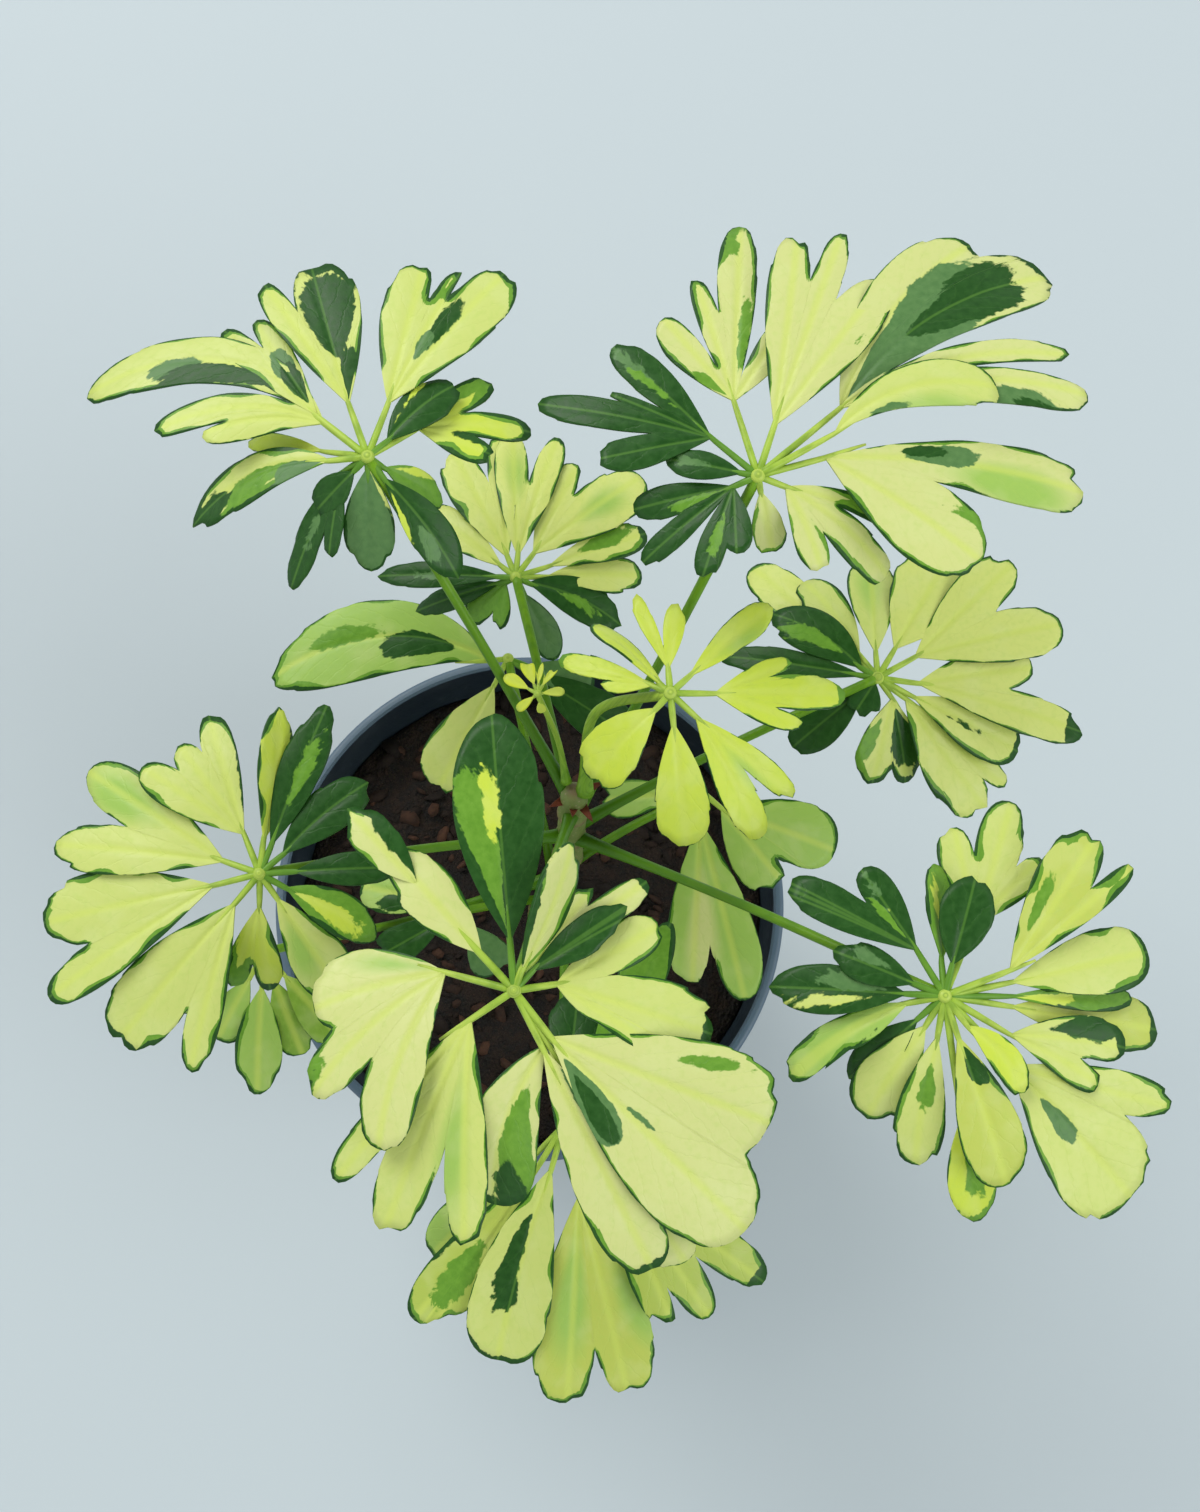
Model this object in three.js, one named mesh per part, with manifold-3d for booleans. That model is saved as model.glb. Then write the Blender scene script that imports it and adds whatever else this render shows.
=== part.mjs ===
// A potted dwarf umbrella tree with cut leaflets, in a plain grower's pot.
// Millimetres, +Z up. The origin is the middle of the pot's foot.
import * as THREE from "three";
import { mergeVertices } from "three/addons/utils/BufferGeometryUtils.js";
import Module from "manifold-3d";

const wasm = await Module();
wasm.setup();

// Pot
const POT_HEIGHT = 110;
const RIM_RADIUS = 65;
const FOOT_RADIUS = 47;
const WALL = 1.8;
const FLOOR = 2.4;
const LIP_OUT = 2.6;
const LIP_HEIGHT = 11;
const FOOT_RISE = 2;
const FOOT_RING = 5;
const FOOT_PAD = 20;
const DRAIN_COUNT = 6;
const DRAIN_RADIUS = 4;
const DRAIN_CIRCLE = 32;
const POT_SIDES = 36;
const POT_BEVEL = 0.8;

// Clearance between pieces that touch
const GAP = 0.35;

// Shortest edge that is kept where solids are joined
const FINEST = 0.02;

// Soil
const SOIL_LEVEL = 97;
const LUMP = 1.6;
const EDGE_DROP = 2;
const SOIL_RINGS = 6;
const SOIL_SIDES = 30;

// Stem: from its foot in the soil, past the soil's surface, to the growing tip
const STEM_FOOT = [2, -3, 62];
const STEM_SURFACE = [3, -2, 97];
const STEM_BEND = [10, 6, 140];
const STEM_TIP = [12.5, 14, 180];
const STEM_RADIUS = 4.4;
const STEM_TIP_RADIUS = 3;
const STEM_SIDES = 10;
const STEM_STEPS = 16;
const SCAR_SWELL = 0.4;
const SCAR_COUNT = 9;

// Leaves
const BLADE = 0.62;
const STALK_WIDTH = 1.5;
const STALK_DEPTH = 1.1;
const PETIOLE_RADIUS = 1.05;
const PETIOLE_SHEATH = 1.1;
const PETIOLE_SIDES = 6;
const PETIOLE_STEPS = 6;
const PETIOLE_RISE = 5;
const HUB_RADIUS = 2.2;
const ARCH = 0.05;
const CUP = 0.04;
const CUP_VARIES = 0.1;
const WIDEST = 0.7;
const SHALLOWEST_NOTCH = 0.4;
const NARROWEST_STEP = 0.8;

// Where a lobe's edge gets points, as shares of the angle from its midline to its side,
// for lobes that reach less far than each length
const EDGE_STEPS = [
  [8, [-0.85, -0.35, 0.35, 0.85]],
  [22, [-0.92, -0.65, -0.22, 0.22, 0.65, 0.92]],
  [Infinity, [-0.94, -0.76, -0.46, -0.16, 0.16, 0.46, 0.76, 0.94]],
];

// The photograph that the leaves were read from: where it was taken from, how many degrees it
// looks down, and its focal length and middle in pixels
const VIEWPOINT = new THREE.Vector3(18, -69, 566);
const VIEW_DOWN = 76.8;
const FOCAL_LENGTH = 1800;
const VIEW_MIDDLE = [600, 756];
const BASE_SHARE = 0.3;
const STRAIGHT = 15;
const LEAST_RUN = 0.7;

// Each leaf: where its leaflets meet, as read by eye on the photograph in pixels across and
// down, that spot's height in millimetres, and how far up the stem its petiole starts.
// Each leaflet: the base of its blade in pixels, how far its tip drops below the hub in
// millimetres, its roll and its sweep in degrees, and the tips of its lobes. Each tip: pixels
// across and down, the lobe's width in pixels, and where the lobe is widest, as a share of its
// reach, if that isn't WIDEST.
const leaves = [
  {
    name: "leaf_back_left",
    hub: [368, 456],
    height: 240,
    joint: 0.94,
    leaflets: [
      { base: [325, 425], drop: 10, sweep: 45, tips: [[84, 396, 64], [158, 440, 40], [205, 442, 40]] },
      { base: [318, 415], drop: 6, tips: [[223, 328, 36], [254, 322, 34]] },
      { base: [350, 405], drop: 4, tips: [[312, 265, 78], [264, 286, 36]] },
      { base: [388, 405], drop: 4, tips: [[425, 267, 62], [462, 272, 40], [506, 270, 68]] },
      { base: [378, 432], drop: 3, sweep: -10, tips: [[458, 384, 46, 0.6]] },
      { base: [415, 428], drop: 8, sweep: -8, tips: [[494, 388, 34], [535, 432, 36], [492, 460, 36]] },
      { base: [392, 455], drop: 12, sweep: -10, tips: [[443, 507, 34, 0.6]] },
      { base: [372, 468], drop: 16, tips: [[373, 572, 52, 0.6]] },
      { base: [394, 466], drop: 14, sweep: -8, tips: [[460, 579, 44, 0.6]] },
      { base: [342, 474], drop: 16, tips: [[291, 592, 38, 0.6], [335, 558, 26]] },
      { base: [350, 464], drop: 8, tips: [[314, 514, 38, 0.6]] },
      { base: [332, 462], drop: 12, sweep: 27, tips: [[193, 528, 52, 0.6]] },
      { base: [325, 448], drop: 14, tips: [[248, 442, 24]] },
    ],
  },
  {
    name: "leaf_back_right",
    hub: [760, 475],
    height: 245,
    joint: 0.86,
    rise: -5,
    leaflets: [
      {
        base: [715, 438], drop: 4,
        tips: [[613, 352, 44], [540, 405, 36], [597, 466, 40], [612, 398, 20]],
      },
      { base: [745, 470], drop: 2, tips: [[664, 458, 32, 0.6]] },
      {
        base: [738, 486], drop: 8,
        tips: [[638, 512, 34], [644, 562, 28], [706, 582, 32], [742, 556, 34]],
      },
      { base: [757, 490], drop: 10, tips: [[774, 552, 36]] },
      { base: [786, 488], drop: 12, sweep: -10, tips: [[893, 580, 54], [822, 576, 38], [888, 526, 30]] },
      {
        base: [738, 402], drop: 5,
        tips: [[664, 324, 46], [696, 284, 34], [741, 227, 48], [790, 326, 38]],
      },
      { base: [776, 425], drop: 4, tips: [[800, 238, 50], [844, 229, 34], [884, 288, 56]] },
      {
        base: [842, 408], drop: 6, sweep: -22,
        tips: [[1050, 276, 80, 0.76], [972, 252, 76], [1068, 364, 40, 0.76], [1085, 408, 54, 0.76]],
      },
      { base: [838, 432], drop: -1, sweep: -32, tips: [[1000, 388, 56, 0.75]] },
      { base: [825, 458], drop: 8, sweep: -6, tips: [[1085, 492, 62, 0.78], [982, 568, 90]] },
    ],
  },
  {
    name: "leaf_back_low",
    hub: [514, 579],
    height: 180,
    joint: 0.89,
    leaflets: [
      { base: [507, 562], drop: 4, tips: [[452, 456, 52], [496, 437, 34]] },
      { base: [516, 558], drop: 4, tips: [[512, 438, 40], [556, 440, 32]] },
      { base: [532, 556], drop: 5, tips: [[576, 470, 40], [640, 478, 62]] },
      { base: [545, 563], drop: 6, tips: [[645, 536, 36]] },
      { base: [545, 574], drop: 8, tips: [[642, 578, 40]] },
      { base: [528, 584], drop: 8, sweep: -14, tips: [[622, 630, 44, 0.6]] },
      { base: [522, 596], drop: 12, tips: [[555, 662, 34, 0.6]] },
      { base: [505, 586], drop: 10, tips: [[464, 622, 40], [497, 632, 24]] },
      { base: [500, 576], drop: 6, tips: [[376, 578, 28, 0.6]] },
      { base: [500, 570], drop: 5, tips: [[425, 512, 38]] },
      { base: [500, 583], drop: 14, tips: [[412, 614, 26, 0.6]] },
    ],
  },
  {
    name: "leaf_right_back",
    hub: [877, 676],
    height: 185,
    joint: 0.82,
    leaflets: [
      { base: [914, 656], drop: 6, tips: [[1060, 622, 60], [1010, 564, 56]] },
      { base: [892, 648], drop: 5, tips: [[946, 560, 80]] },
      { base: [876, 650], drop: 6, tips: [[868, 558, 50]] },
      { base: [865, 648], drop: 8, sweep: 8, tips: [[802, 580, 42]] },
      { base: [915, 682], drop: 8, tips: [[1083, 730, 46], [1030, 668, 56]] },
      { base: [915, 692], drop: 10, tips: [[1018, 750, 54]] },
      { base: [902, 697], drop: 14, sweep: 6, tips: [[985, 808, 70], [1006, 786, 36]] },
      { base: [890, 696], drop: 12, tips: [[905, 780, 42], [868, 784, 56]] },
      { base: [872, 676], drop: 3, tips: [[852, 714, 40, 0.6]] },
      { base: [862, 664], drop: 4, sweep: 14, tips: [[770, 612, 48, 0.6]] },
      { base: [862, 670], drop: 8, tips: [[715, 655, 30, 0.6]] },
      { base: [862, 688], drop: 12, tips: [[790, 748, 46, 0.6]] },
      { base: [860, 658], drop: 13, tips: [[752, 566, 46]] },
    ],
  },
  {
    name: "leaf_young",
    hub: [671, 691],
    height: 220,
    joint: 0.98,
    start: [14.6, 13.6, 179],
    via: [17, 26, 200],
    leaflets: [
      { base: [652, 684], drop: 6, tips: [[560, 658, 26], [600, 682, 22]] },
      { base: [658, 686], drop: 3, roll: 50, tips: [[593, 622, 36]] },
      { base: [669, 668], drop: 2, tips: [[634, 592, 18], [677, 604, 24]] },
      { base: [690, 676], drop: 4, tips: [[770, 604, 34]] },
      { base: [716, 692], drop: 8, tips: [[848, 692, 46], [792, 662, 26], [800, 722, 30]] },
      { base: [695, 715], drop: 14, tips: [[762, 836, 44], [792, 795, 30]] },
      { base: [679, 722], drop: 14, tips: [[688, 847, 56]] },
      { base: [656, 705], drop: 8, sweep: 8, tips: [[592, 776, 62]] },
    ],
  },
  {
    name: "leaf_bud",
    hub: [537, 692],
    height: 205,
    joint: 1,
    start: [10.6, 15.6, 181],
    via: [9, 22, 193],
    size: 0.6,
    leaflets: [
      { base: [533, 683], drop: 0, tips: [[524, 656, 14]] },
      { base: [538, 682], drop: 0, tips: [[540, 660, 8]] },
      { base: [541, 684], drop: 0, tips: [[558, 659, 11]] },
      { base: [530, 688], drop: 0, tips: [[504, 674, 13]] },
      { base: [543, 691], drop: 2, tips: [[563, 690, 10]] },
      { base: [533, 696], drop: 3, tips: [[518, 708, 10]] },
      { base: [538, 698], drop: 4, tips: [[542, 712, 10]] },
    ],
  },
  {
    name: "leaf_right_front",
    hub: [943, 997],
    height: 220,
    joint: 0.78,
    leaflets: [
      { base: [915, 952], drop: 2, tips: [[786, 882, 44], [858, 873, 40], [838, 918, 20]] },
      { base: [932, 958], drop: 2, roll: 45, sweep: -10, tips: [[934, 862, 48, 0.6]] },
      { base: [922, 966], drop: 2, tips: [[830, 952, 40, 0.6]] },
      { base: [905, 998], drop: 6, tips: [[768, 988, 52, 0.6]] },
      { base: [908, 1004], drop: 10, sweep: 12, tips: [[784, 1078, 38], [835, 1044, 34]] },
      { base: [915, 1018], drop: 12, tips: [[846, 1080, 40, 0.6]] },
      { base: [955, 968], drop: -3, tips: [[974, 874, 56, 0.6]] },
      { base: [974, 925], drop: 6, tips: [[950, 828, 46], [1010, 802, 56], [1036, 862, 36]] },
      { base: [1008, 972], drop: 4, tips: [[1092, 836, 68], [1132, 866, 28]] },
      { base: [1008, 980], drop: 8, tips: [[1146, 954, 68]] },
      { base: [1005, 998], drop: 10, tips: [[1132, 1000, 28]] },
      { base: [1008, 1035], drop: 8, sweep: -8, tips: [[1126, 1050, 50], [1098, 1088, 34]] },
      { base: [1006, 1018], drop: 14, tips: [[1156, 1032, 60]] },
      { base: [1012, 1066], drop: 12, tips: [[1165, 1106, 46], [1130, 1200, 112, 0.74]] },
      { base: [962, 1036], drop: 10, tips: [[1004, 1186, 66]] },
      { base: [950, 1036], drop: 14, sweep: 8, tips: [[914, 1166, 52]] },
      { base: [960, 1120], drop: 18, tips: [[975, 1222, 50, 0.6]] },
      { base: [966, 1028], drop: 3, sweep: -20, tips: [[1027, 1102, 34, 0.6]] },
      { base: [938, 1034], drop: 14, sweep: 8, tips: [[866, 1118, 66]] },
    ],
  },
  {
    name: "leaf_front",
    hub: [513, 990],
    height: 230,
    joint: 0.9,
    leaflets: [
      {
        base: [445, 972], drop: 8, sweep: 12,
        tips: [[311, 1095, 56], [377, 1151, 66], [318, 1010, 90]],
      },
      { base: [470, 1020], drop: 14, tips: [[336, 1180, 40], [380, 1236, 66], [464, 1247, 50]] },
      { base: [545, 1042], drop: 12, sweep: 24, tips: [[494, 1203, 82]] },
      { base: [548, 1044], drop: 16, tips: [[652, 1272, 76]] },
      { base: [550, 1042], drop: 20, tips: [[684, 1264, 80]] },
      { base: [550, 1038], drop: 12, tips: [[767, 1120, 112, 0.75], [748, 1232, 112]] },
      { base: [556, 984], drop: 8, tips: [[712, 1034, 82], [655, 928, 48], [606, 1018, 24]] },
      { base: [530, 972], drop: 2, tips: [[628, 903, 36, 0.6], [606, 928, 32]] },
      { base: [532, 966], drop: 6, tips: [[646, 880, 34], [590, 888, 28]] },
      { base: [518, 968], drop: -6, roll: 55, tips: [[570, 842, 60, 0.6]] },
      { base: [500, 945], drop: -6, tips: [[492, 709, 92, 0.6]] },
      { base: [470, 838], drop: -2, tips: [[344, 806, 46, 0.6]] },
      { base: [497, 940], drop: 0, tips: [[386, 848, 58, 0.6]] },
    ],
  },
  {
    name: "leaf_left",
    hub: [258, 873],
    height: 200,
    joint: 0.78,
    leaflets: [
      { base: [215, 885], drop: 10, tips: [[44, 924, 78], [44, 998, 48]] },
      { base: [225, 862], drop: 6, tips: [[50, 844, 54], [86, 772, 56]] },
      { base: [242, 832], drop: 2, tips: [[208, 714, 36], [178, 744, 46], [142, 768, 42]] },
      { base: [262, 840], drop: -4, roll: 50, tips: [[278, 704, 44, 0.6]] },
      { base: [270, 846], drop: -4, tips: [[326, 704, 44, 0.6]] },
      { base: [285, 858], drop: -2, sweep: -8, tips: [[372, 779, 48, 0.6]] },
      { base: [290, 866], drop: 2, tips: [[402, 866, 36, 0.6]] },
      { base: [288, 878], drop: 4, sweep: -8, tips: [[377, 938, 44, 0.6]] },
      { base: [266, 902], drop: 10, tips: [[342, 994, 58]] },
      { base: [258, 905], drop: 14, tips: [[270, 990, 32], [232, 984, 28]] },
      { base: [236, 902], drop: 12, tips: [[115, 1042, 80], [192, 1070, 40]] },
    ],
  },
  {
    name: "leaf_front_low",
    hub: [562, 1125],
    height: 165,
    joint: 0.64,
    leaflets: [
      { base: [552, 1166], drop: 10, sweep: 5, tips: [[494, 1362, 84, 0.74]] },
      { base: [578, 1192], drop: 14, tips: [[566, 1404, 78], [626, 1396, 78]] },
      { base: [606, 1165], drop: 12, tips: [[765, 1284, 50], [708, 1318, 60], [668, 1322, 50]] },
      { base: [532, 1172], drop: 12, tips: [[442, 1310, 50], [412, 1318, 50]] },
      { base: [590, 1085], drop: 4, tips: [[672, 918, 46, 0.6]] },
      { base: [564, 1090], drop: 6, tips: [[578, 990, 56, 0.6]] },
      { base: [538, 1150], drop: 16, tips: [[432, 1254, 56]] },
    ],
  },
  {
    name: "leaf_left_low",
    hub: [262, 950],
    height: 150,
    joint: 0.56,
    rise: -9,
    leaflets: [
      { base: [252, 978], drop: 8, tips: [[216, 1040, 42]] },
      { base: [260, 985], drop: 10, tips: [[256, 1094, 48, 0.6]] },
      { base: [274, 978], drop: 8, tips: [[302, 1052, 42]] },
      { base: [285, 968], drop: 6, tips: [[345, 1040, 44]] },
      { base: [236, 962], drop: 4, tips: [[170, 1000, 44]] },
    ],
  },
  {
    name: "leaf_back_left_low",
    hub: [510, 660],
    height: 152,
    joint: 0.5,
    leaflets: [
      { base: [494, 662], drop: 2, sweep: 33, tips: [[268, 684, 86, 0.6]] },
      { base: [505, 690], drop: 8, tips: [[440, 792, 66]] },
      { base: [530, 672], drop: 4, tips: [[596, 690, 40]] },
      { base: [525, 684], drop: 8, tips: [[640, 744, 52]] },
    ],
  },
  {
    name: "leaf_right_low",
    hub: [700, 792],
    height: 150,
    joint: 0.6,
    leaflets: [
      { base: [698, 822], drop: 10, tips: [[744, 1004, 56], [690, 988, 56]] },
      { base: [718, 808], drop: 6, tips: [[780, 884, 64], [835, 852, 72]] },
      { base: [680, 800], drop: 4, tips: [[602, 802, 40]] },
    ],
  },
  {
    name: "leaf_middle_low",
    hub: [462, 912],
    height: 140,
    joint: 0.42,
    rise: 2,
    leaflets: [
      { base: [445, 905], drop: 4, tips: [[362, 888, 44]] },
      { base: [448, 918], drop: 6, tips: [[376, 960, 40]] },
      { base: [468, 930], drop: 6, tips: [[500, 976, 44]] },
    ],
  },
];

const radians = THREE.MathUtils.degToRad;
const degrees = THREE.MathUtils.radToDeg;

// Lines of sight

const forward = new THREE.Vector3(0, Math.cos(radians(VIEW_DOWN)), -Math.sin(radians(VIEW_DOWN)));
const rightward = new THREE.Vector3(1, 0, 0);
const upward = rightward.clone().cross(forward);

function sightLine([across, down]) {
  return forward.clone()
    .addScaledVector(rightward, (across - VIEW_MIDDLE[0]) / FOCAL_LENGTH)
    .addScaledVector(upward, (VIEW_MIDDLE[1] - down) / FOCAL_LENGTH);
}

function spotAtHeight(pixel, height) {
  const line = sightLine(pixel);
  return VIEWPOINT.clone().addScaledVector(line, (height - VIEWPOINT.z) / line.z);
}

function spotOnPlane(pixel, origin, normal) {
  const line = sightLine(pixel);
  const away = origin.clone().sub(VIEWPOINT).dot(normal) / line.dot(normal);
  return VIEWPOINT.clone().addScaledVector(line, away);
}

// From readings to sizes

function bearing(from, to) {
  const angle = degrees(Math.atan2(to.y - from.y, to.x - from.x));
  return (angle + 360) % 360;
}

// The leaflet's own frame: along it, across it and out of its upper face
function leafletFrame(turn, dip, roll) {
  const along = new THREE.Vector3(
    Math.cos(radians(turn)) * Math.cos(radians(dip)),
    Math.sin(radians(turn)) * Math.cos(radians(dip)),
    -Math.sin(radians(dip)),
  );
  const level = new THREE.Vector3(-Math.sin(radians(turn)), Math.cos(radians(turn)), 0);
  const across = level.applyAxisAngle(along, radians(roll));
  return { along, across, out: along.clone().cross(across) };
}

// A leaflet's turn and dip in whole degrees, its stalk in whole millimetres, and its lobes. Each
// lobe: turn aside in degrees, reach and half width in millimetres, and where it is widest.
function measureLeaflet({ base, drop, roll = 0, sweep = 0, tips }, hub) {
  const tip = spotAtHeight(tips[0], hub.z - drop);
  const straight = tips.length === 1 && Math.abs(sweep) < STRAIGHT;
  const exactTurn = bearing(hub, straight ? tip : spotAtHeight(base, hub.z - BASE_SHARE * drop));
  const away = tip.clone().sub(hub).setZ(0);
  const heading = new THREE.Vector3(Math.cos(radians(exactTurn)), Math.sin(radians(exactTurn)), 0);
  const run = Math.max(away.dot(heading), LEAST_RUN * away.length());
  const turn = Math.round(exactTurn);
  const dip = Math.round(degrees(Math.atan2(drop, run)));
  const { along, across, out } = leafletFrame(turn, dip, roll);
  const stalk = Math.max(1, Math.round(spotOnPlane(base, hub, out).sub(hub).dot(along)));
  // The tips on the leaflet's plane, moved in towards the hub by the stalk's length
  const spots = tips.map((pixel) => spotOnPlane(pixel, hub, out).addScaledVector(along, -stalk));
  const steps = spots.map((spot) => spot.clone().sub(hub));
  const flat = steps.map((step) => [step.dot(along), step.dot(across)]);
  const reaches = flat.map(([x, y]) => Math.hypot(x, y));
  const longest = Math.max(...reaches);
  const lobes = tips.map(([, , width, ...widest], i) => {
    const aside = degrees(Math.atan2(flat[i][1], flat[i][0])) - (sweep * reaches[i]) / longest;
    const depth = spots[i].clone().sub(VIEWPOINT).dot(forward);
    const half = ((width / 2) * depth) / FOCAL_LENGTH;
    return [Math.round(aside), Math.round(reaches[i]), Math.round(10 * half) / 10, ...widest];
  });
  return { turn, dip, roll, stalk, sweep, lobes };
}

// Solids for cutting and joining

function solidOf(geometry) {
  const bare = geometry.clone();
  bare.deleteAttribute("normal");
  bare.deleteAttribute("uv");
  const merged = mergeVertices(bare, 1e-4);
  return new wasm.Manifold(new wasm.Mesh({
    numProp: 3,
    vertProperties: new Float32Array(merged.attributes.position.array),
    triVerts: new Uint32Array(merged.index.array),
  }));
}

function geometryOf(solid) {
  const mesh = solid.getMesh();
  const geometry = new THREE.BufferGeometry();
  geometry.setAttribute("position", new THREE.BufferAttribute(mesh.vertProperties, 3));
  geometry.setIndex(new THREE.BufferAttribute(mesh.triVerts, 1));
  geometry.computeVertexNormals();
  return geometry;
}

// Joining can seal a hollow, leave a loose scrap or make slivers: only the outer skin of the
// main body is kept, without its slivers
function mainBody(solid) {
  return solid.simplify(FINEST).decompose().reduce((a, b) => (b.volume() > a.volume() ? b : a));
}

function indexed(points, faces) {
  const geometry = new THREE.BufferGeometry();
  geometry.setAttribute("position", new THREE.Float32BufferAttribute(points.flatMap((p) => p.toArray()), 3));
  geometry.setIndex(faces.flat());
  return geometry;
}

// A closed tube along a curve, its radius given by a function of the way along it
function tube(curve, radiusAt, sides, steps) {
  const frames = curve.computeFrenetFrames(steps);
  const points = [];
  const faces = [];
  for (let i = 0; i <= steps; i++) {
    const centre = curve.getPointAt(i / steps);
    for (let j = 0; j < sides; j++) {
      const angle = (2 * Math.PI * j) / sides;
      const radius = radiusAt(i / steps);
      points.push(centre.clone()
        .addScaledVector(frames.normals[i], radius * Math.cos(angle))
        .addScaledVector(frames.binormals[i], radius * Math.sin(angle)));
      const next = (j + 1) % sides;
      if (i < steps) {
        faces.push([i * sides + j, i * sides + next, (i + 1) * sides + next]);
        faces.push([i * sides + j, (i + 1) * sides + next, (i + 1) * sides + j]);
      }
    }
  }
  const first = points.push(curve.getPointAt(0)) - 1;
  const last = points.push(curve.getPointAt(1)) - 1;
  for (let j = 0; j < sides; j++) {
    const next = (j + 1) % sides;
    faces.push([first, next, j]);
    faces.push([last, steps * sides + j, steps * sides + next]);
  }
  return indexed(points, faces);
}

// A lathed solid with its axis along Z
function turned(profile, sides) {
  const geometry = new THREE.LatheGeometry(profile.map(([r, z]) => new THREE.Vector2(r, z)), sides);
  return geometry.rotateX(Math.PI / 2);
}

// Pot

function potRadius(z) {
  const lipStart = POT_HEIGHT - LIP_HEIGHT;
  return FOOT_RADIUS + ((RIM_RADIUS - LIP_OUT - FOOT_RADIUS) * Math.min(z, lipStart)) / lipStart;
}

function makePot() {
  const lipStart = POT_HEIGHT - LIP_HEIGHT;
  const inner = FOOT_RADIUS - FOOT_RING;
  const profile = [
    [0, 0],
    [FOOT_PAD, 0],
    [FOOT_PAD + POT_BEVEL, FOOT_RISE],
    [inner, FOOT_RISE],
    [inner + POT_BEVEL, 0],
    [FOOT_RADIUS - POT_BEVEL, 0],
    [FOOT_RADIUS, POT_BEVEL],
    [potRadius(lipStart), lipStart],
    [RIM_RADIUS - POT_BEVEL, lipStart],
    [RIM_RADIUS, lipStart + POT_BEVEL],
    [RIM_RADIUS, POT_HEIGHT - POT_BEVEL],
    [RIM_RADIUS - POT_BEVEL, POT_HEIGHT],
    [RIM_RADIUS - LIP_OUT, POT_HEIGHT],
    [potRadius(lipStart) - WALL, lipStart - LIP_OUT],
    [FOOT_RADIUS - WALL, FOOT_RISE + FLOOR + POT_BEVEL],
    [FOOT_RADIUS - WALL - POT_BEVEL, FOOT_RISE + FLOOR],
    [0, FOOT_RISE + FLOOR],
  ];
  let pot = solidOf(turned(profile, POT_SIDES));
  for (let i = 0; i < DRAIN_COUNT; i++) {
    const angle = (2 * Math.PI * i) / DRAIN_COUNT;
    const drain = new THREE.CylinderGeometry(DRAIN_RADIUS, DRAIN_RADIUS, 4 * FLOOR, 10);
    drain.rotateX(Math.PI / 2);
    drain.translate(DRAIN_CIRCLE * Math.cos(angle), DRAIN_CIRCLE * Math.sin(angle), FOOT_RISE + FLOOR / 2);
    pot = pot.subtract(solidOf(drain));
  }
  return pot;
}

// Soil: fills the pot, with a lumpy top and a plain hole for the stem

function lump(x, y) {
  return LUMP * (0.5 * Math.sin(0.31 * x + 0.6) * Math.cos(0.27 * y - 0.4) + 0.5 * Math.sin(0.17 * x - 0.23 * y));
}

function makeSoil(stemHole) {
  const bottom = FOOT_RISE + FLOOR + GAP;
  const innerRadius = (z) => potRadius(z) - WALL - 2 * GAP;
  const profile = [[0, bottom], [innerRadius(bottom) - 2 * POT_BEVEL, bottom]];
  for (let i = 0; i <= SOIL_RINGS; i++) {
    const share = 1 - i / SOIL_RINGS;
    profile.push([innerRadius(SOIL_LEVEL) * share, SOIL_LEVEL - EDGE_DROP * share ** 4]);
  }
  const soil = turned(profile, SOIL_SIDES);
  const position = soil.attributes.position;
  for (let i = 0; i < position.count; i++) {
    const x = position.getX(i);
    const y = position.getY(i);
    if (position.getZ(i) > SOIL_LEVEL / 2) position.setZ(i, position.getZ(i) + lump(x, y));
  }
  return mainBody(solidOf(soil).subtract(stemHole));
}

// Stem

const stemCurve = new THREE.CatmullRomCurve3(
  [STEM_FOOT, STEM_SURFACE, STEM_BEND, STEM_TIP].map((p) => new THREE.Vector3(...p)),
);

function stemRadius(t) {
  const scar = Math.max(0, Math.cos(2 * Math.PI * SCAR_COUNT * t)) ** 4;
  return THREE.MathUtils.lerp(STEM_RADIUS, STEM_TIP_RADIUS, t) + SCAR_SWELL * scar;
}

function makeStem(extra) {
  const radiusAt = (t) => stemRadius(t) + extra;
  return solidOf(tube(stemCurve, radiusAt, STEM_SIDES, STEM_STEPS));
}

// Leaf blades

// A number from 0 to 1 that looks random but is the same for the same leaflet
function varied(count) {
  return (count * 0.618) % 1;
}

// How steeply a lobe opens from its base, as the tangent of its half angle, and how blunt it is
function lobeShape([, reach, half, widest = WIDEST]) {
  const blunt = 1 / widest - 1;
  return { slope: half / reach / (widest * (1 - widest) ** blunt), blunt };
}

// How far a lobe reaches from the blade's base in a direction
function lobeReach(angle, lobe) {
  const off = Math.abs(angle - radians(lobe[0]));
  const { slope, blunt } = lobeShape(lobe);
  const share = Math.tan(off) / slope;
  if (off > 1.5 || share >= 1) return 0;
  return (lobe[1] * (1 - share ** (1 / blunt))) / Math.cos(off);
}

function bladeReach(angle, lobes) {
  return Math.max(...lobes.map((lobe) => lobeReach(angle, lobe)));
}

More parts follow.
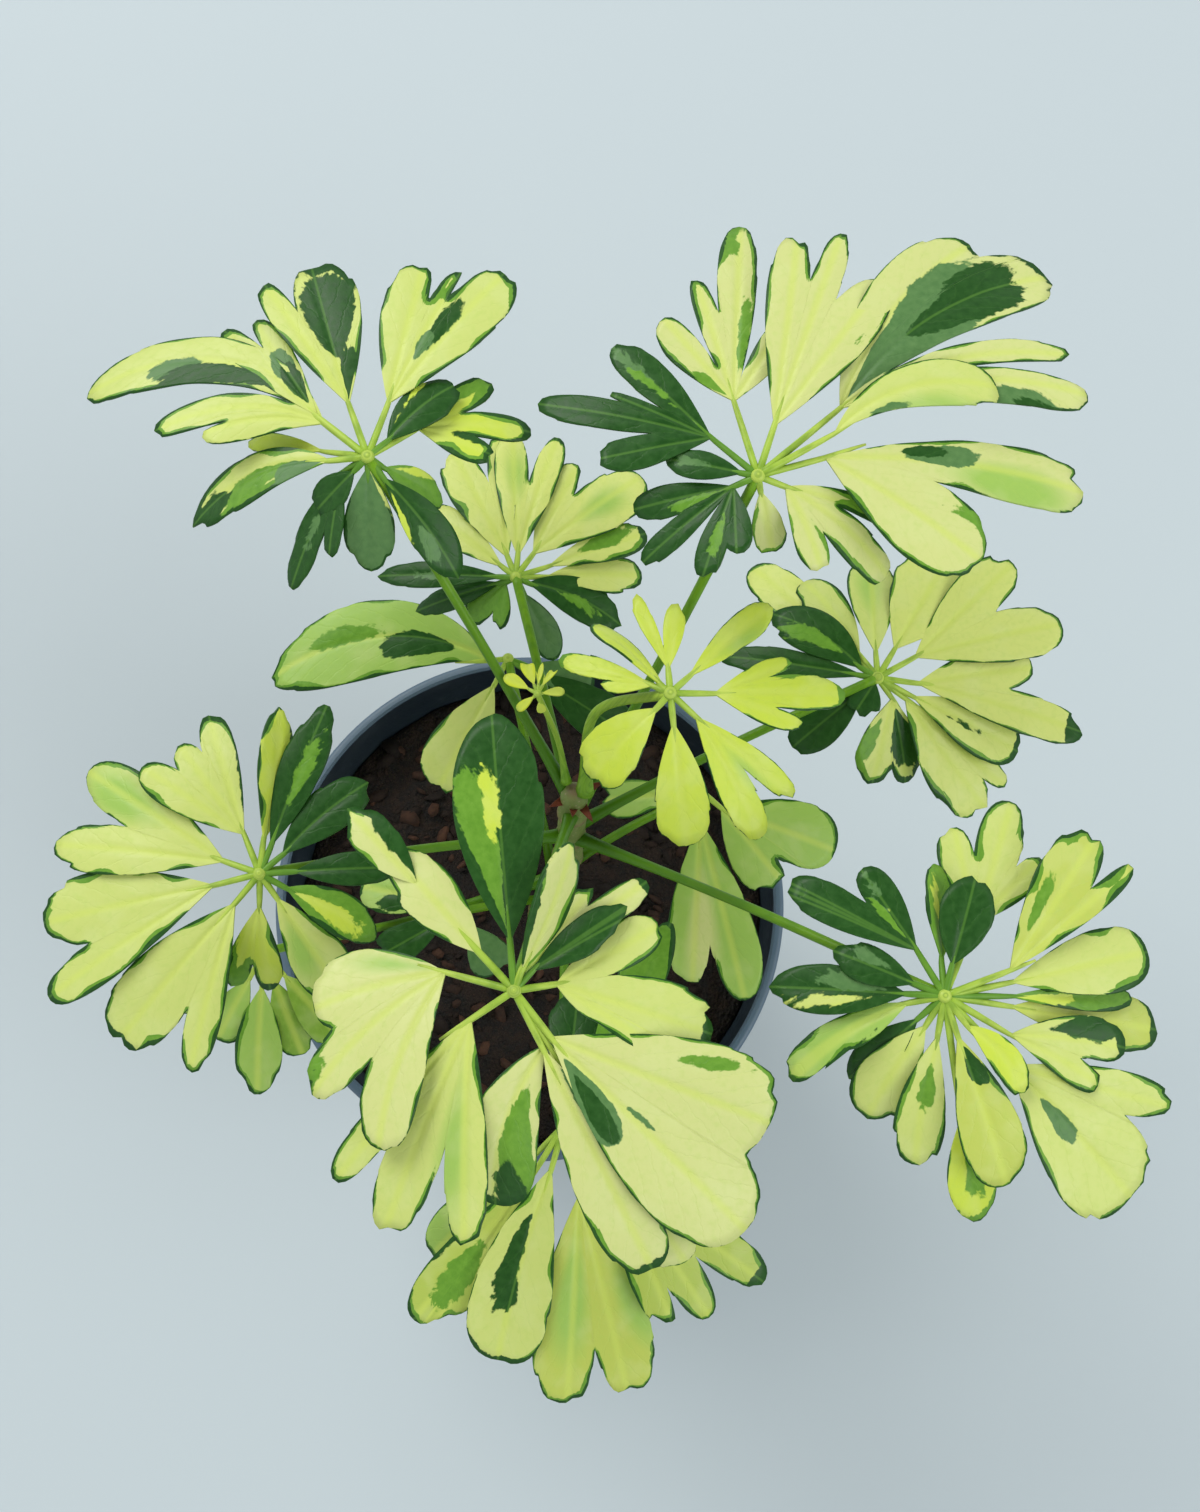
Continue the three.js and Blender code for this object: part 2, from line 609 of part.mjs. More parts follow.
// The directions from the base in which the outline has a point: along each lobe, and at each notch
function edgeAngles(lobes) {
  const angles = [];
  for (const lobe of lobes) {
    const side = Math.atan(lobeShape(lobe).slope);
    for (const step of EDGE_STEPS.find(([size]) => lobe[1] < size)[1]) {
      const angle = radians(lobe[0]) + step * side;
      if (lobeReach(angle, lobe) > bladeReach(angle, lobes) - 0.01) angles.push(angle);
    }
  }
  const asides = lobes.map((lobe) => radians(lobe[0])).sort((a, b) => a - b);
  const notches = [];
  for (let i = 1; i < asides.length; i++) {
    let notch = asides[i];
    for (let k = 0; k <= 40; k++) {
      const angle = THREE.MathUtils.lerp(asides[i - 1], asides[i], k / 40);
      if (bladeReach(angle, lobes) < bladeReach(notch, lobes)) notch = angle;
    }
    const higher = Math.min(bladeReach(asides[i - 1], lobes), bladeReach(asides[i], lobes));
    if (bladeReach(notch, lobes) < higher - SHALLOWEST_NOTCH) notches.push(notch);
  }
  const kept = angles.filter((a) => notches.every((n) => Math.abs(a - n) > radians(2 * NARROWEST_STEP)));
  const sorted = [...kept, ...notches].sort((a, b) => a - b);
  const apart = sorted.filter((a, i) => i === 0 || a - sorted[i - 1] > radians(NARROWEST_STEP));
  if (apart.length % 2 === 0) apart.splice(apart.length - 2, 1);
  return apart;
}

// One leaflet: a thin arched plate with its stalk, both faces split into the same triangles
function leafletGeometry({ stalk, sweep, lobes, count, size }, place) {
  const [aside, length] = lobes.reduce((a, b) => (b[1] > a[1] ? b : a));
  const cup = CUP + CUP_VARIES * (varied(count) - 0.5);
  const angles = edgeAngles(lobes);
  const reaches = angles.map((angle) => bladeReach(angle, lobes));

  const spotAt = (angle, r) => {
    const swept = angle + (radians(sweep) * r) / length;
    const off = angle - radians(aside);
    const share = Math.max(0, r * Math.cos(off)) / length;
    const height = ARCH * length * 4 * share * (1 - share) + cup * r * Math.abs(Math.sin(off));
    return [r * Math.cos(swept), r * Math.sin(swept), height];
  };

  const half = (size * STALK_WIDTH) / 2;
  const edge = [
    [-stalk, -half, 0],
    [0, -half, 0],
    ...angles.map((angle, i) => spotAt(angle, reaches[i])),
    [0, half, 0],
    [-stalk, half, 0],
  ];
  const first = 2;
  const last = edge.length - 3;
  const spots = [...edge];
  const middle = spots.push([0, 0, 0]) - 1;
  const ring = [];
  for (let i = first + 1; i < last; i += 2) {
    const k = i - first;
    const within = Math.min(reaches[k - 1], reaches[k], reaches[k + 1]);
    ring[i] = spots.push(spotAt(angles[k], 0.5 * within)) - 1;
  }

  const faces = [
    [middle, 0, 1],
    [middle, 1, first],
    [middle, first, ring[first + 1]],
    [middle, ring[last - 1], last],
    [middle, last, last + 1],
    [middle, last + 1, last + 2],
    [middle, last + 2, 0],
  ];
  for (let i = first + 1; i < last; i += 2) {
    faces.push([ring[i], i - 1, i], [ring[i], i, i + 1]);
    if (ring[i + 2]) faces.push([ring[i], i + 1, ring[i + 2]], [middle, ring[i], ring[i + 2]]);
  }

  const total = spots.length;
  const points = [];
  for (const side of [0.5, -0.5]) {
    for (const [x, y, height] of spots) {
      const thick = x === -stalk ? size * STALK_DEPTH : BLADE;
      points.push(place(x, y, height + side * thick));
    }
  }
  const under = faces.map(([a, b, c]) => [a + total, c + total, b + total]);
  const wall = edge.flatMap((_, i) => {
    const next = (i + 1) % edge.length;
    return [[i, i + total, next + total], [i, next + total, next]];
  });
  return indexed(points, [...faces, ...under, ...wall]);
}

// Leaves

function petioleCurve({ joint, start, via, rise = PETIOLE_RISE }, end) {
  const from = start ? new THREE.Vector3(...start) : stemCurve.getPointAt(joint);
  const middle = via
    ? new THREE.Vector3(...via)
    : from.clone().lerp(end, 0.5).add(new THREE.Vector3(0, 0, rise));
  return new THREE.CatmullRomCurve3([from, middle, end]);
}

let leafletCount = 0;

function makeLeaf(leaf, stemHole) {
  const seenHub = spotAtHeight(leaf.hub, leaf.height);
  const hub = seenHub.clone().round();
  const size = leaf.size ?? 1;
  const radiusAt = (t) => size * (PETIOLE_RADIUS + PETIOLE_SHEATH * (1 - t) ** 8);
  const knot = new THREE.IcosahedronGeometry(size * HUB_RADIUS, 0);
  let solid = solidOf(tube(petioleCurve(leaf, hub), radiusAt, PETIOLE_SIDES, PETIOLE_STEPS));
  solid = solid.add(solidOf(knot.translate(...hub)));
  for (const reading of leaf.leaflets) {
    leafletCount += 1;
    const { turn, dip, roll, stalk, sweep, lobes } = measureLeaflet(reading, seenHub);
    const { along, across, out } = leafletFrame(turn, dip, roll);
    const place = (x, y, z) => hub.clone()
      .addScaledVector(along, stalk + x)
      .addScaledVector(across, y)
      .addScaledVector(out, z);
    const shape = { stalk, sweep, lobes, count: leafletCount, size };
    solid = solid.add(solidOf(leafletGeometry(shape, place)));
  }
  return mainBody(solid.subtract(stemHole));
}

// The whole plant

const plant = new THREE.Group();

function addPiece(name, solid, color, roughness) {
  const material = new THREE.MeshStandardMaterial({ color, roughness, metalness: 0 });
  const mesh = new THREE.Mesh(geometryOf(solid), material);
  mesh.name = name;
  plant.add(mesh);
}

const stemHole = makeStem(GAP);
addPiece("pot", makePot(), 0x2b333a, 0.5);
addPiece("soil", makeSoil(stemHole), 0x2a1d16, 0.95);
addPiece("stem", makeStem(0), 0x5d7a35, 0.6);
for (const leaf of leaves) addPiece(leaf.name, makeLeaf(leaf, stemHole), 0xc4d27c, 0.45);

export default plant;
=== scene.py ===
# The looks of a potted dwarf umbrella tree: cut, variegated leaflets on long stalks, a short
# stem, lumpy soil and a plain grower's pot. Shapes are worked out in millimetres, in the CAD
# model's frame, and turned into metres when each mesh is made.
import math
import random

import bmesh
import bpy
import numpy as np
from mathutils import Matrix, Vector, noise


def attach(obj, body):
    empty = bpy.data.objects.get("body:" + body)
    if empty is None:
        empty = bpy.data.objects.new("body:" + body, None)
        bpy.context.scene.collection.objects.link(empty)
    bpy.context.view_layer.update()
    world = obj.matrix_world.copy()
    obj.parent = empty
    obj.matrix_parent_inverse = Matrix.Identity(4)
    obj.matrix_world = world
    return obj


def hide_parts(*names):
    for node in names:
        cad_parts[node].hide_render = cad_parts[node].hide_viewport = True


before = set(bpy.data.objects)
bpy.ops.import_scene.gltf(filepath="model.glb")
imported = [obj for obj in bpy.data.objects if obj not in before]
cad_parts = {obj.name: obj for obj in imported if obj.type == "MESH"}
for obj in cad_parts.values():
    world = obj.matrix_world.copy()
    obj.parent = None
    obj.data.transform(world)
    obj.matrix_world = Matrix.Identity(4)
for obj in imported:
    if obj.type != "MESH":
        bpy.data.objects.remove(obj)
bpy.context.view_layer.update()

MM = 0.001

# Corners closer than this are made one, on large pieces and on thin stalks
WELD = 0.01
FINE_WELD = 0.001

# Places of materials in a piece's list, after its first
LOWER_FACE = 1
STALK = 2
SCALE = 1
CHIP = 1

# Pot, with its turns and its sharpest smooth edge in degrees
POT_HEIGHT = 110
RIM_RADIUS = 65
FOOT_RADIUS = 47
WALL = 1.8
FLOOR = 2.4
LIP_OUT = 2.6
LIP_HEIGHT = 11
FOOT_RISE = 2
FOOT_RING = 5
FOOT_PAD = 20
DRAIN_COUNT = 6
DRAIN_RADIUS = 4
DRAIN_CIRCLE = 32
POT_STEPS = 144
ROUNDING = 0.8
FOOT_EDGE_IN = 0.2
FOOT_EDGE_UP = 0.3
CORNER = 0.5
LIP_FILLET = 0.4
LIP_ROUNDING = 1.2
LIP_ROUND_TURNS = (0, 22, 45, 68, 90)
LIP_INNER_CORNER = 0.6
LIP_INNER_TAPER = 0.3
LIP_INNER_FOOT = 2
WALL_LEVELS = (30, 60)
DRAIN_SIDES = 32
SHARPEST_SMOOTH = 35

# Soil, with a chip's width, thickness and jitter as shares of its length, and its tilt in radians
SOIL_LEVEL = 97
SOIL_STEPS = 120
SOIL_RINGS = 34
SOIL_GAP = 0.4
SOIL_FOOT_GAP = 2
SOIL_WALL_GAP = 0.8
SOIL_SIDE_LEVELS = (30, 60, 85)
SOIL_MIDDLE = 0.1
EDGE_DROP = 2
LUMP = 1.6
CLOD = 1.5
CLOD_WIDTH = 7
CHIP_COUNT = 420
CHIP_SEED = 7
CHIP_LENGTHS = (0.8, 3.4)
CHIP_WIDTHS = (0.3, 0.8)
CHIP_THICKNESSES = (0.15, 0.5)
CHIP_JITTER = 0.16
CHIP_TILT = 0.6
CHIP_RISE = 0.2
CHIPS_REACH = 0.96

# Stem, from its foot in the soil to the growing tip
STEM_POINTS = [(2, -3, 62), (3, -2, 97), (10, 6, 140), (12.5, 14, 180)]
STEM_RADIUS = 4.4
STEM_TIP_RADIUS = 3
STEM_STEPS = 100
STEM_SIDES = 28
STEM_TIP_TAPER = (0.95, 0.75, 0.35)
SCAR_COUNT = 9
SCAR_SWELL = 0.45
SCAR_NARROWNESS = 12
SCAR_TINT = 0.8
BARK_BUMP = 0.15
BARK_BUMP_WIDTH = 4

# Dry scales round the growing tip: the way each faces and how far it leans out, in degrees,
# and its length in millimetres
BUD_SCALES = ((20, 50, 3.6), (-60, 58, 4.8), (-150, 55, 3.4), (130, 40, 3.2), (-95, 30, 4.2))
SCALE_COLUMNS = 6
SCALE_ROWS = 8
SCALE_FOOT = 5
SCALE_OUT = 2.9
SCALE_HALF_WIDTH = 1.2
SCALE_TAPER = 0.6
SCALE_CURL = 0.9
SCALE_CUP = 0.35
SCALE_THICKNESS = 0.25

# Leaves
BLADE = 0.45
STALK_RADIUS = 0.62
PETIOLE_RADIUS = 1.05
PETIOLE_SHEATH = 1.1
SHEATH_SHORTNESS = 8
PETIOLE_RISE = 5
PETIOLE_STEPS = 26
PETIOLE_SIDES = 14
HUB_RADIUS = 1.4
HUB_FLATNESS = 0.75
HUB_TINT_REACH = 2
STALK_STEPS = 8
STALK_SIDES = 10
STALK_FLATNESS = 0.85
STALK_SWELL = 1.15
STALK_TAPER = 0.75
STALK_UNDER_BLADE = 0.16
STALK_SINK = 0.25
CURVE_STEPS = 40
ARCH = 0.05
CUP = 0.04
CUP_VARIES = 0.1
WIDEST = 0.7
COLUMN_SPACING = 1.5
FEWEST_COLUMNS = 20
RING_SPACING = 2.4
FEWEST_RINGS = 7
OUTLINE_STEPS = 1600
NOTCH_STEPS = 60
NOTCH_SHARPNESS = 2.5
EDGE_INSET = 0.99
SHORTEST_REACH = 0.25
INNERMOST = 0.01
RIB_DEPTH = 0.3
RIB_WIDTH = 0.5
CAMBER = 0.09
WAVE = 0.55
WAVE_TURN = 0.45
UNEVENNESS = 0.3
UNEVEN_WIDTH = 9.0
FAR = 4.0
UNDERLAP = 0.8
MARGIN_SHARPNESS = 3.0
MARGIN_SHARES = (("dark", 0.5), ("green", 1.0))
MARGIN_LEAST = 0.8
MARGIN_VARIES = 2.4
MARGIN_RAG_WIDTH = 6.0
MARGIN_START = 8
MARGIN_FADE = 4
TOOTH_SPACING = 3.0
TOOTH_DEPTH = 3.0
TOOTH_START = 0.05
TOOTHED_END = 2.5
YOUNG_TOOTH_DEPTH = 4.2
SEED_STEP = 11.3
LAYERS = ["green", "grey", "dark"]

# Leaf colours, as Blender's linear values
GROUNDS = {
    "pale": (0.54, 0.58, 0.21),
    "fresh": (0.51, 0.58, 0.16),
    # Partly painted light: a yellow ground made brighter than the others, so that lower leaves the lamps
    # leave dim look as lit as the upper ones
    "straw": (0.57, 0.63, 0.17),
    "lime": (0.50, 0.61, 0.06),
    "bud": (0.60, 0.68, 0.04),
    "light": (0.30, 0.47, 0.09),
    "honey": (0.44, 0.51, 0.09),
    # Partly painted shade: the next two grounds are darker and yellower, for the dimmer light that reaches
    # the lower leaves through the leaves above
    "shade": (0.38, 0.47, 0.08),
    "olive": (0.19, 0.34, 0.035),
}

# Darkest and lightest colour of each darker area
AREA_TONES = {
    "green": ((0.075, 0.21, 0.015), (0.17, 0.35, 0.035)),
    "grey": ((0.055, 0.145, 0.04), (0.12, 0.24, 0.075)),
    "dark": ((0.006, 0.043, 0.004), (0.026, 0.10, 0.014)),
}

# Colours at the two ends of each kind of stalk
PETIOLE_GREENS = ((0.045, 0.14, 0.004), (0.15, 0.31, 0.012))
YOUNG_PETIOLE_GREENS = ((0.16, 0.32, 0.02), (0.36, 0.50, 0.05))
PALE_STALK_GREENS = ((0.28, 0.44, 0.04), (0.47, 0.58, 0.10))
DARK_STALK_GREENS = ((0.14, 0.30, 0.03), (0.09, 0.22, 0.02))

# Shares of a noise field between which a finish goes from one value to another
NOISE_LOW = 0.3
NOISE_HIGH = 0.7

# The photograph that the leaves were read from: where it was taken from, how many degrees it
# looks down, and its focal length, middle and height in pixels
VIEWPOINT = np.array((18.0, -69.0, 566.0))
VIEW_DOWN = 76.8
FOCAL_LENGTH = 1800.0
VIEW_MIDDLE = (600, 756)
PHOTO_HEIGHT = 1512
SENSOR_HEIGHT = 36

# How a leaflet is laid out: how much of its drop comes before its blade's base, the sweep in
# degrees below which a single lobe's tip gives its turn, and the least share of the way to its
# first tip over which its dip is worked out
BASE_SHARE = 0.3
STRAIGHT = 15
LEAST_RUN = 0.7

# Half the floor's side and the spot that the lights face, in metres, and the room's finish
FLOOR_HALF = 12.0
LIGHT_AIM = (0, 0, 0.15)
FLOOR_COLOUR = (0.47, 0.53, 0.55)
FLOOR_ROUGHNESS = 0.8
ROOM_COLOUR = (0.93, 0.97, 1.0, 1)
ROOM_FADE = (("From Min", 0.5), ("From Max", 0.95), ("To Min", 1.0), ("To Max", 0.35))


# Notes of a leaflet's colours, as read. The first gives a spot's place and half sizes,
# along and across its lobe, in the photograph's pixels. The others give shares of the lobe:
# its tip, or an area at its left or right edge, as seen from the leaflet's base.


def spot(tone, lobe, across, down, half_length, half_width):
    return {"tone": tone, "lobe": lobe, "pixel": (across, down), "half": (half_length, half_width)}


def tip(tone, lobe, half_length=0.07):
    return {"tone": tone, "lobe": lobe, "shares": (1, half_length, 0, 1)}


def left(tone, lobe, middle=0.65, half_length=0.35, half_width=0.2):
    return {"tone": tone, "lobe": lobe, "shares": (middle, half_length, 1, half_width)}


def right(tone, lobe, middle=0.65, half_length=0.35, half_width=0.2):
    return {"tone": tone, "lobe": lobe, "shares": (middle, half_length, -1, half_width)}


def leaflet(base, drop, tips, main, margin=0, cuts=0.2, roll=0, sweep=0, patches=()):
    """A leaflet's notes. One number for its cuts stands for all the notches between its tips."""
    if not isinstance(cuts, tuple):
        cuts = (cuts,) * (len(tips) - 1)
    return {
        "base": base, "drop": drop, "tips": tips, "main": main, "margin": margin, "cuts": cuts,
        "roll": roll, "sweep": sweep, "patches": patches,
    }


# Each leaf: where its leaflets meet, as read on the photograph in pixels across and
# down, that spot's height in millimetres, and how far up the stem its petiole starts.
# Each leaflet: the base of its blade in pixels, how far its tip drops below the hub in
# millimetres, the tips of its lobes, its main colour, the width of its dark margin in
# millimetres, how much deeper each notch between its lobes is cut, its roll and its sweep in
# degrees, and its patches of colour. Each tip: pixels across and down, the lobe's width in
# pixels, and where the lobe is widest, as a share of its reach, if that isn't WIDEST.
LEAVES = [
    {
        "name": "leaf_back_left", "hub": (368, 456), "height": 240, "joint": 0.94,
        "leaflets": [
            leaflet((325, 425), 10, [(84, 396, 64), (158, 440, 40), (205, 442, 40)], "fresh", 0.5,
                sweep=45,
                patches=[spot("grey", 0, 180, 374, 26, 12), spot("dark", 0, 222, 380, 56, 12)]),
            leaflet((318, 415), 6, [(223, 328, 36), (254, 322, 34)], "fresh", 0.8,
                patches=[spot("grey", 0, 288, 372, 24, 11), spot("dark", 0, 298, 386, 24, 9)]),
            leaflet((350, 405), 4, [(312, 265, 78), (264, 286, 36)], "fresh", 0.7,
                patches=[spot("dark", 0, 332, 318, 48, 26), spot("dark", 0, 350, 375, 26, 7)]),
            leaflet((388, 405), 4, [(425, 267, 62), (462, 272, 40), (506, 270, 68)], "fresh", 0.7,
                patches=[spot("dark", 2, 445, 328, 30, 9), spot("grey", 2, 424, 350, 18, 6)]),
            leaflet((378, 432), 3, [(458, 384, 46, 0.6)], "dark", sweep=-10,
                patches=[spot("lime", 0, 412, 398, 22, 2)]),
            leaflet((415, 428), 8, [(494, 388, 34), (535, 432, 36), (492, 460, 36)], "lime", 1,
                sweep=-8, patches=[spot("green", 0, 466, 396, 22, 5), tip("dark", 0),
                    tip("dark", 1), spot("dark", 2, 470, 440, 20, 5)]),
            leaflet((392, 455), 12, [(443, 507, 34, 0.6)], "green", 0.8, sweep=-10,
                patches=[spot("lime", 0, 415, 472, 24, 4)]),
            leaflet((372, 468), 16, [(373, 572, 52, 0.6)], "grey", 1.3,
                patches=[spot("pale", 0, 382, 490, 26, 2)]),
            leaflet((394, 466), 14, [(460, 579, 44, 0.6)], "dark", sweep=-8,
                patches=[spot("lime", 0, 402, 520, 26, 3), spot("grey", 0, 428, 545, 18, 8)]),
            leaflet((342, 474), 16, [(291, 592, 38, 0.6), (335, 558, 26)], "dark",
                patches=[spot("grey", 0, 318, 530, 18, 5)]),
            leaflet((350, 464), 8, [(314, 514, 38, 0.6)], "dark"),
            leaflet((332, 462), 12, [(193, 528, 52, 0.6)], "fresh", 1.1, sweep=27,
                patches=[spot("green", 0, 270, 478, 55, 9), spot("dark", 0, 215, 512, 28, 14),
                    spot("grey", 0, 300, 470, 25, 9)]),
            leaflet((325, 448), 14, [(248, 442, 24)], "lime", 0.2),
        ],
    },
    {
        "name": "leaf_back_right", "hub": (760, 475), "height": 245, "joint": 0.86, "rise": -5,
        "leaflets": [
            leaflet((715, 438), 4,
                [(613, 352, 44), (540, 405, 36), (597, 466, 40), (612, 398, 20)], "dark",
                cuts=(0.4, 0.15, 0.15),
                patches=[spot("green", 0, 652, 388, 34, 5), spot("grey", 0, 630, 366, 18, 5)]),
            leaflet((745, 470), 2, [(664, 458, 32, 0.6)], "dark",
                patches=[spot("grey", 0, 690, 462, 18, 4)]),
            leaflet((738, 486), 8,
                [(638, 512, 34), (644, 562, 28), (706, 582, 32), (742, 556, 34)], "dark",
                cuts=0.05,
                patches=[spot("green", 2, 722, 535, 20, 5), spot("green", 0, 700, 500, 26, 4)]),
            leaflet((757, 490), 10, [(774, 552, 36)], "pale", 0.5,
                patches=[spot("green", 0, 750, 535, 40, 5)]),
            leaflet((786, 488), 12, [(893, 580, 54), (822, 576, 38), (888, 526, 30)], "pale", 0.9,
                cuts=(0.15, 0.5), sweep=-10, patches=[left("green", 2, 0.65, 0.35, 0.15),
                    spot("green", 1, 789, 526, 18, 5), right("green", 0, 0.65, 0.35, 0.15)]),
            leaflet((738, 402), 5,
                [(664, 324, 46), (696, 284, 34), (741, 227, 48), (790, 326, 38)], "pale", 0.8,
                cuts=(0.65, 0.2, 0.6), patches=[spot("green", 2, 735, 247, 13, 6),
                    left("green", 3), spot("green", 0, 712, 385, 18, 5)]),
            leaflet((776, 425), 4, [(800, 238, 50), (844, 229, 34), (884, 288, 56)], "pale", 0.6,
                cuts=(0, 0.15),
                patches=[right("dark", 2, 0.65, 0.2, 0.2), spot("green", 2, 860, 345, 8, 4)]),
            leaflet((842, 408), 6, [(1050, 276, 80, 0.76), (972, 252, 76), (1068, 364, 40, 0.76),
                    (1085, 408, 54, 0.76)], "pale", 0.45, cuts=(0.45, 0.3, 0), sweep=-22,
                patches=[spot("grey", 0, 905, 345, 84, 24), spot("grey", 1, 930, 300, 55, 20),
                    spot("dark", 0, 962, 312, 66, 20), spot("dark", 1, 975, 285, 40, 16),
                    spot("grey", 3, 1012, 410, 42, 14), spot("dark", 3, 1030, 416, 20, 6)]),
            leaflet((838, 432), -1, [(1000, 388, 56, 0.75)], "fresh", 0.4, sweep=-32,
                patches=[spot("light", 0, 940, 410, 50, 14), spot("grey", 0, 890, 410, 18, 4)]),
            leaflet((825, 458), 8, [(1085, 492, 62, 0.78), (982, 568, 90)], "pale", 0.6, cuts=0,
                sweep=-6, patches=[spot("light", 0, 1010, 490, 60, 20),
                    spot("grey", 0, 940, 461, 38, 11), spot("dark", 0, 922, 456, 24, 6),
                    spot("green", 1, 975, 525, 28, 8)]),
        ],
    },
    {
        # This leaf's straw grounds are partly painted light
        "name": "leaf_back_low", "hub": (514, 579), "height": 180, "joint": 0.89,
        "leaflets": [
            leaflet((507, 562), 4, [(452, 456, 52), (496, 437, 34)], "straw", 0.9, cuts=0.25,
                patches=[left("dark", 0)]),
            leaflet((516, 558), 4, [(512, 438, 40), (556, 440, 32)], "straw", 0.7, cuts=0.25,
                patches=[right("dark", 1), spot("light", 0, 515, 480, 20, 8)]),
            leaflet((532, 556), 5, [(576, 470, 40), (640, 478, 62)], "straw", 0.6, cuts=0.25,
                patches=[spot("light", 1, 600, 510, 24, 12)]),
            leaflet((545, 563), 6, [(645, 536, 36)], "straw", 0.8,
                patches=[spot("green", 0, 600, 545, 30, 8), tip("dark", 0)]),
            leaflet((545, 574), 8, [(642, 578, 40)], "straw", 1),
            leaflet((528, 584), 8, [(622, 630, 44, 0.6)], "dark", sweep=-14,
                patches=[spot("green", 0, 575, 605, 20, 5)]),
            leaflet((522, 596), 12, [(555, 662, 34, 0.6)], "grey", 1.6),
            leaflet((505, 586), 10, [(464, 622, 40), (497, 632, 24)], "green", 0.8, cuts=0.25),
            leaflet((500, 576), 6, [(376, 578, 28, 0.6)], "dark",
                patches=[spot("grey", 0, 430, 580, 18, 4)]),
            leaflet((500, 570), 5, [(425, 512, 38)], "straw", 0.8,
                patches=[right("dark", 0, 0.65, 0.4, 0.2)]),
            leaflet((500, 583), 14, [(412, 614, 26, 0.6)], "dark"),
        ],
    },
    {
        # This leaf's straw grounds are partly painted light
        "name": "leaf_right_back", "hub": (877, 676), "height": 185, "joint": 0.82,
        "leaflets": [
            leaflet((914, 656), 6, [(1060, 622, 60), (1010, 564, 56)], "straw", 0.4, cuts=0.15),
            leaflet((892, 648), 5, [(946, 560, 80)], "straw", 0.5),
            leaflet((876, 650), 6, [(868, 558, 50)], "fresh", 0.4,
                patches=[spot("light", 0, 868, 590, 24, 10)]),
            leaflet((865, 648), 8, [(802, 580, 42)], "fresh", 0.8, sweep=8,
                patches=[left("dark", 0)]),
            leaflet((915, 682), 8, [(1083, 730, 46), (1030, 668, 56)], "straw", 0.4, cuts=0.15,
                patches=[tip("dark", 0, 0.12)]),
            leaflet((915, 692), 10, [(1018, 750, 54)], "straw", 0.9,
                patches=[spot("dark", 0, 958, 722, 18, 3), right("green", 0)]),
            leaflet((902, 697), 14, [(985, 808, 70), (1006, 786, 36)], "straw", 0.9, cuts=0.15,
                sweep=6, patches=[right("green", 0, 0.65, 0.35, 0.3)]),
            leaflet((890, 696), 12, [(905, 780, 42), (868, 784, 56)], "straw", 0.8, cuts=0.15,
                patches=[spot("dark", 0, 900, 735, 30, 14), spot("green", 1, 862, 740, 28, 10),
                    left("dark", 0)]),
            leaflet((872, 676), 3, [(852, 714, 40, 0.6)], "dark"),
            leaflet((862, 664), 4, [(770, 612, 48, 0.6)], "dark", sweep=14,
                patches=[spot("green", 0, 815, 638, 34, 8)]),
            leaflet((862, 670), 8, [(715, 655, 30, 0.6)], "dark"),
            leaflet((862, 688), 12, [(790, 748, 46, 0.6)], "dark"),
            leaflet((860, 658), 13, [(752, 566, 46)], "straw", 0.7,
                patches=[left("dark", 0, 0.8, 0.35, 0.2)]),
        ],
    },
    {
        "name": "leaf_young", "hub": (671, 691), "height": 220, "joint": 0.98,
        "start": (14.6, 13.6, 179), "via": (17, 26, 200),
        "leaflets": [
            leaflet((652, 684), 6, [(560, 658, 26), (600, 682, 22)], "lime", 0.2, cuts=0.3,
                patches=[tip("green", 0, 0.06)]),
            leaflet((658, 686), 3, [(593, 622, 36)], "lime", 0.2, roll=50),
            leaflet((669, 668), 2, [(634, 592, 18), (677, 604, 24)], "lime", cuts=0.3),
            leaflet((690, 676), 4, [(770, 604, 34)], "lime", 0.1,
                patches=[spot("light", 0, 745, 640, 20, 6)]),
            leaflet((716, 692), 8, [(848, 692, 46), (792, 662, 26), (800, 722, 30)], "lime", 0.2,
                cuts=0.3, patches=[spot("green", 0, 790, 672, 16, 6), tip("green", 0, 0.06)]),
            leaflet((695, 715), 14, [(762, 836, 44), (792, 795, 30)], "lime", 0.1, cuts=0.3,
                patches=[spot("light", 0, 745, 770, 20, 6)]),
            leaflet((679, 722), 14, [(688, 847, 56)], "lime", 0.1),
            leaflet((656, 705), 8, [(592, 776, 62)], "lime", 0.1, sweep=8),
        ],
    },
    {
        "name": "leaf_bud", "hub": (537, 692), "height": 205, "joint": 1,
        "start": (10.6, 15.6, 181), "via": (9, 22, 193), "size": 0.6,
        "leaflets": [
            leaflet((533, 683), 0, [(524, 656, 14)], "bud"),
            leaflet((538, 682), 0, [(540, 660, 8)], "bud"),
            leaflet((541, 684), 0, [(558, 659, 11)], "bud"),
            leaflet((530, 688), 0, [(504, 674, 13)], "bud"),
            leaflet((543, 691), 2, [(563, 690, 10)], "bud"),
            leaflet((533, 696), 3, [(518, 708, 10)], "bud"),
            leaflet((538, 698), 4, [(542, 712, 10)], "bud"),
        ],
    },
    {
        "name": "leaf_right_front", "hub": (943, 997), "height": 220, "joint": 0.78,
        "leaflets": [
            leaflet((915, 952), 2, [(786, 882, 44), (858, 873, 40), (838, 918, 20)], "dark",
                patches=[spot("green", 0, 885, 920, 24, 4), spot("grey", 1, 870, 890, 14, 4)]),
            leaflet((932, 958), 2, [(934, 862, 48, 0.6)], "green", 0.8, roll=45, sweep=-10,
                patches=[spot("lime", 0, 930, 905, 24, 5)]),
            leaflet((922, 966), 2, [(830, 952, 40, 0.6)], "dark",
                patches=[spot("grey", 0, 870, 960, 18, 6)]),
            leaflet((905, 998), 6, [(768, 988, 52, 0.6)], "dark",
                patches=[spot("pale", 0, 825, 1003, 40, 5), spot("grey", 0, 850, 985, 30, 8)]),
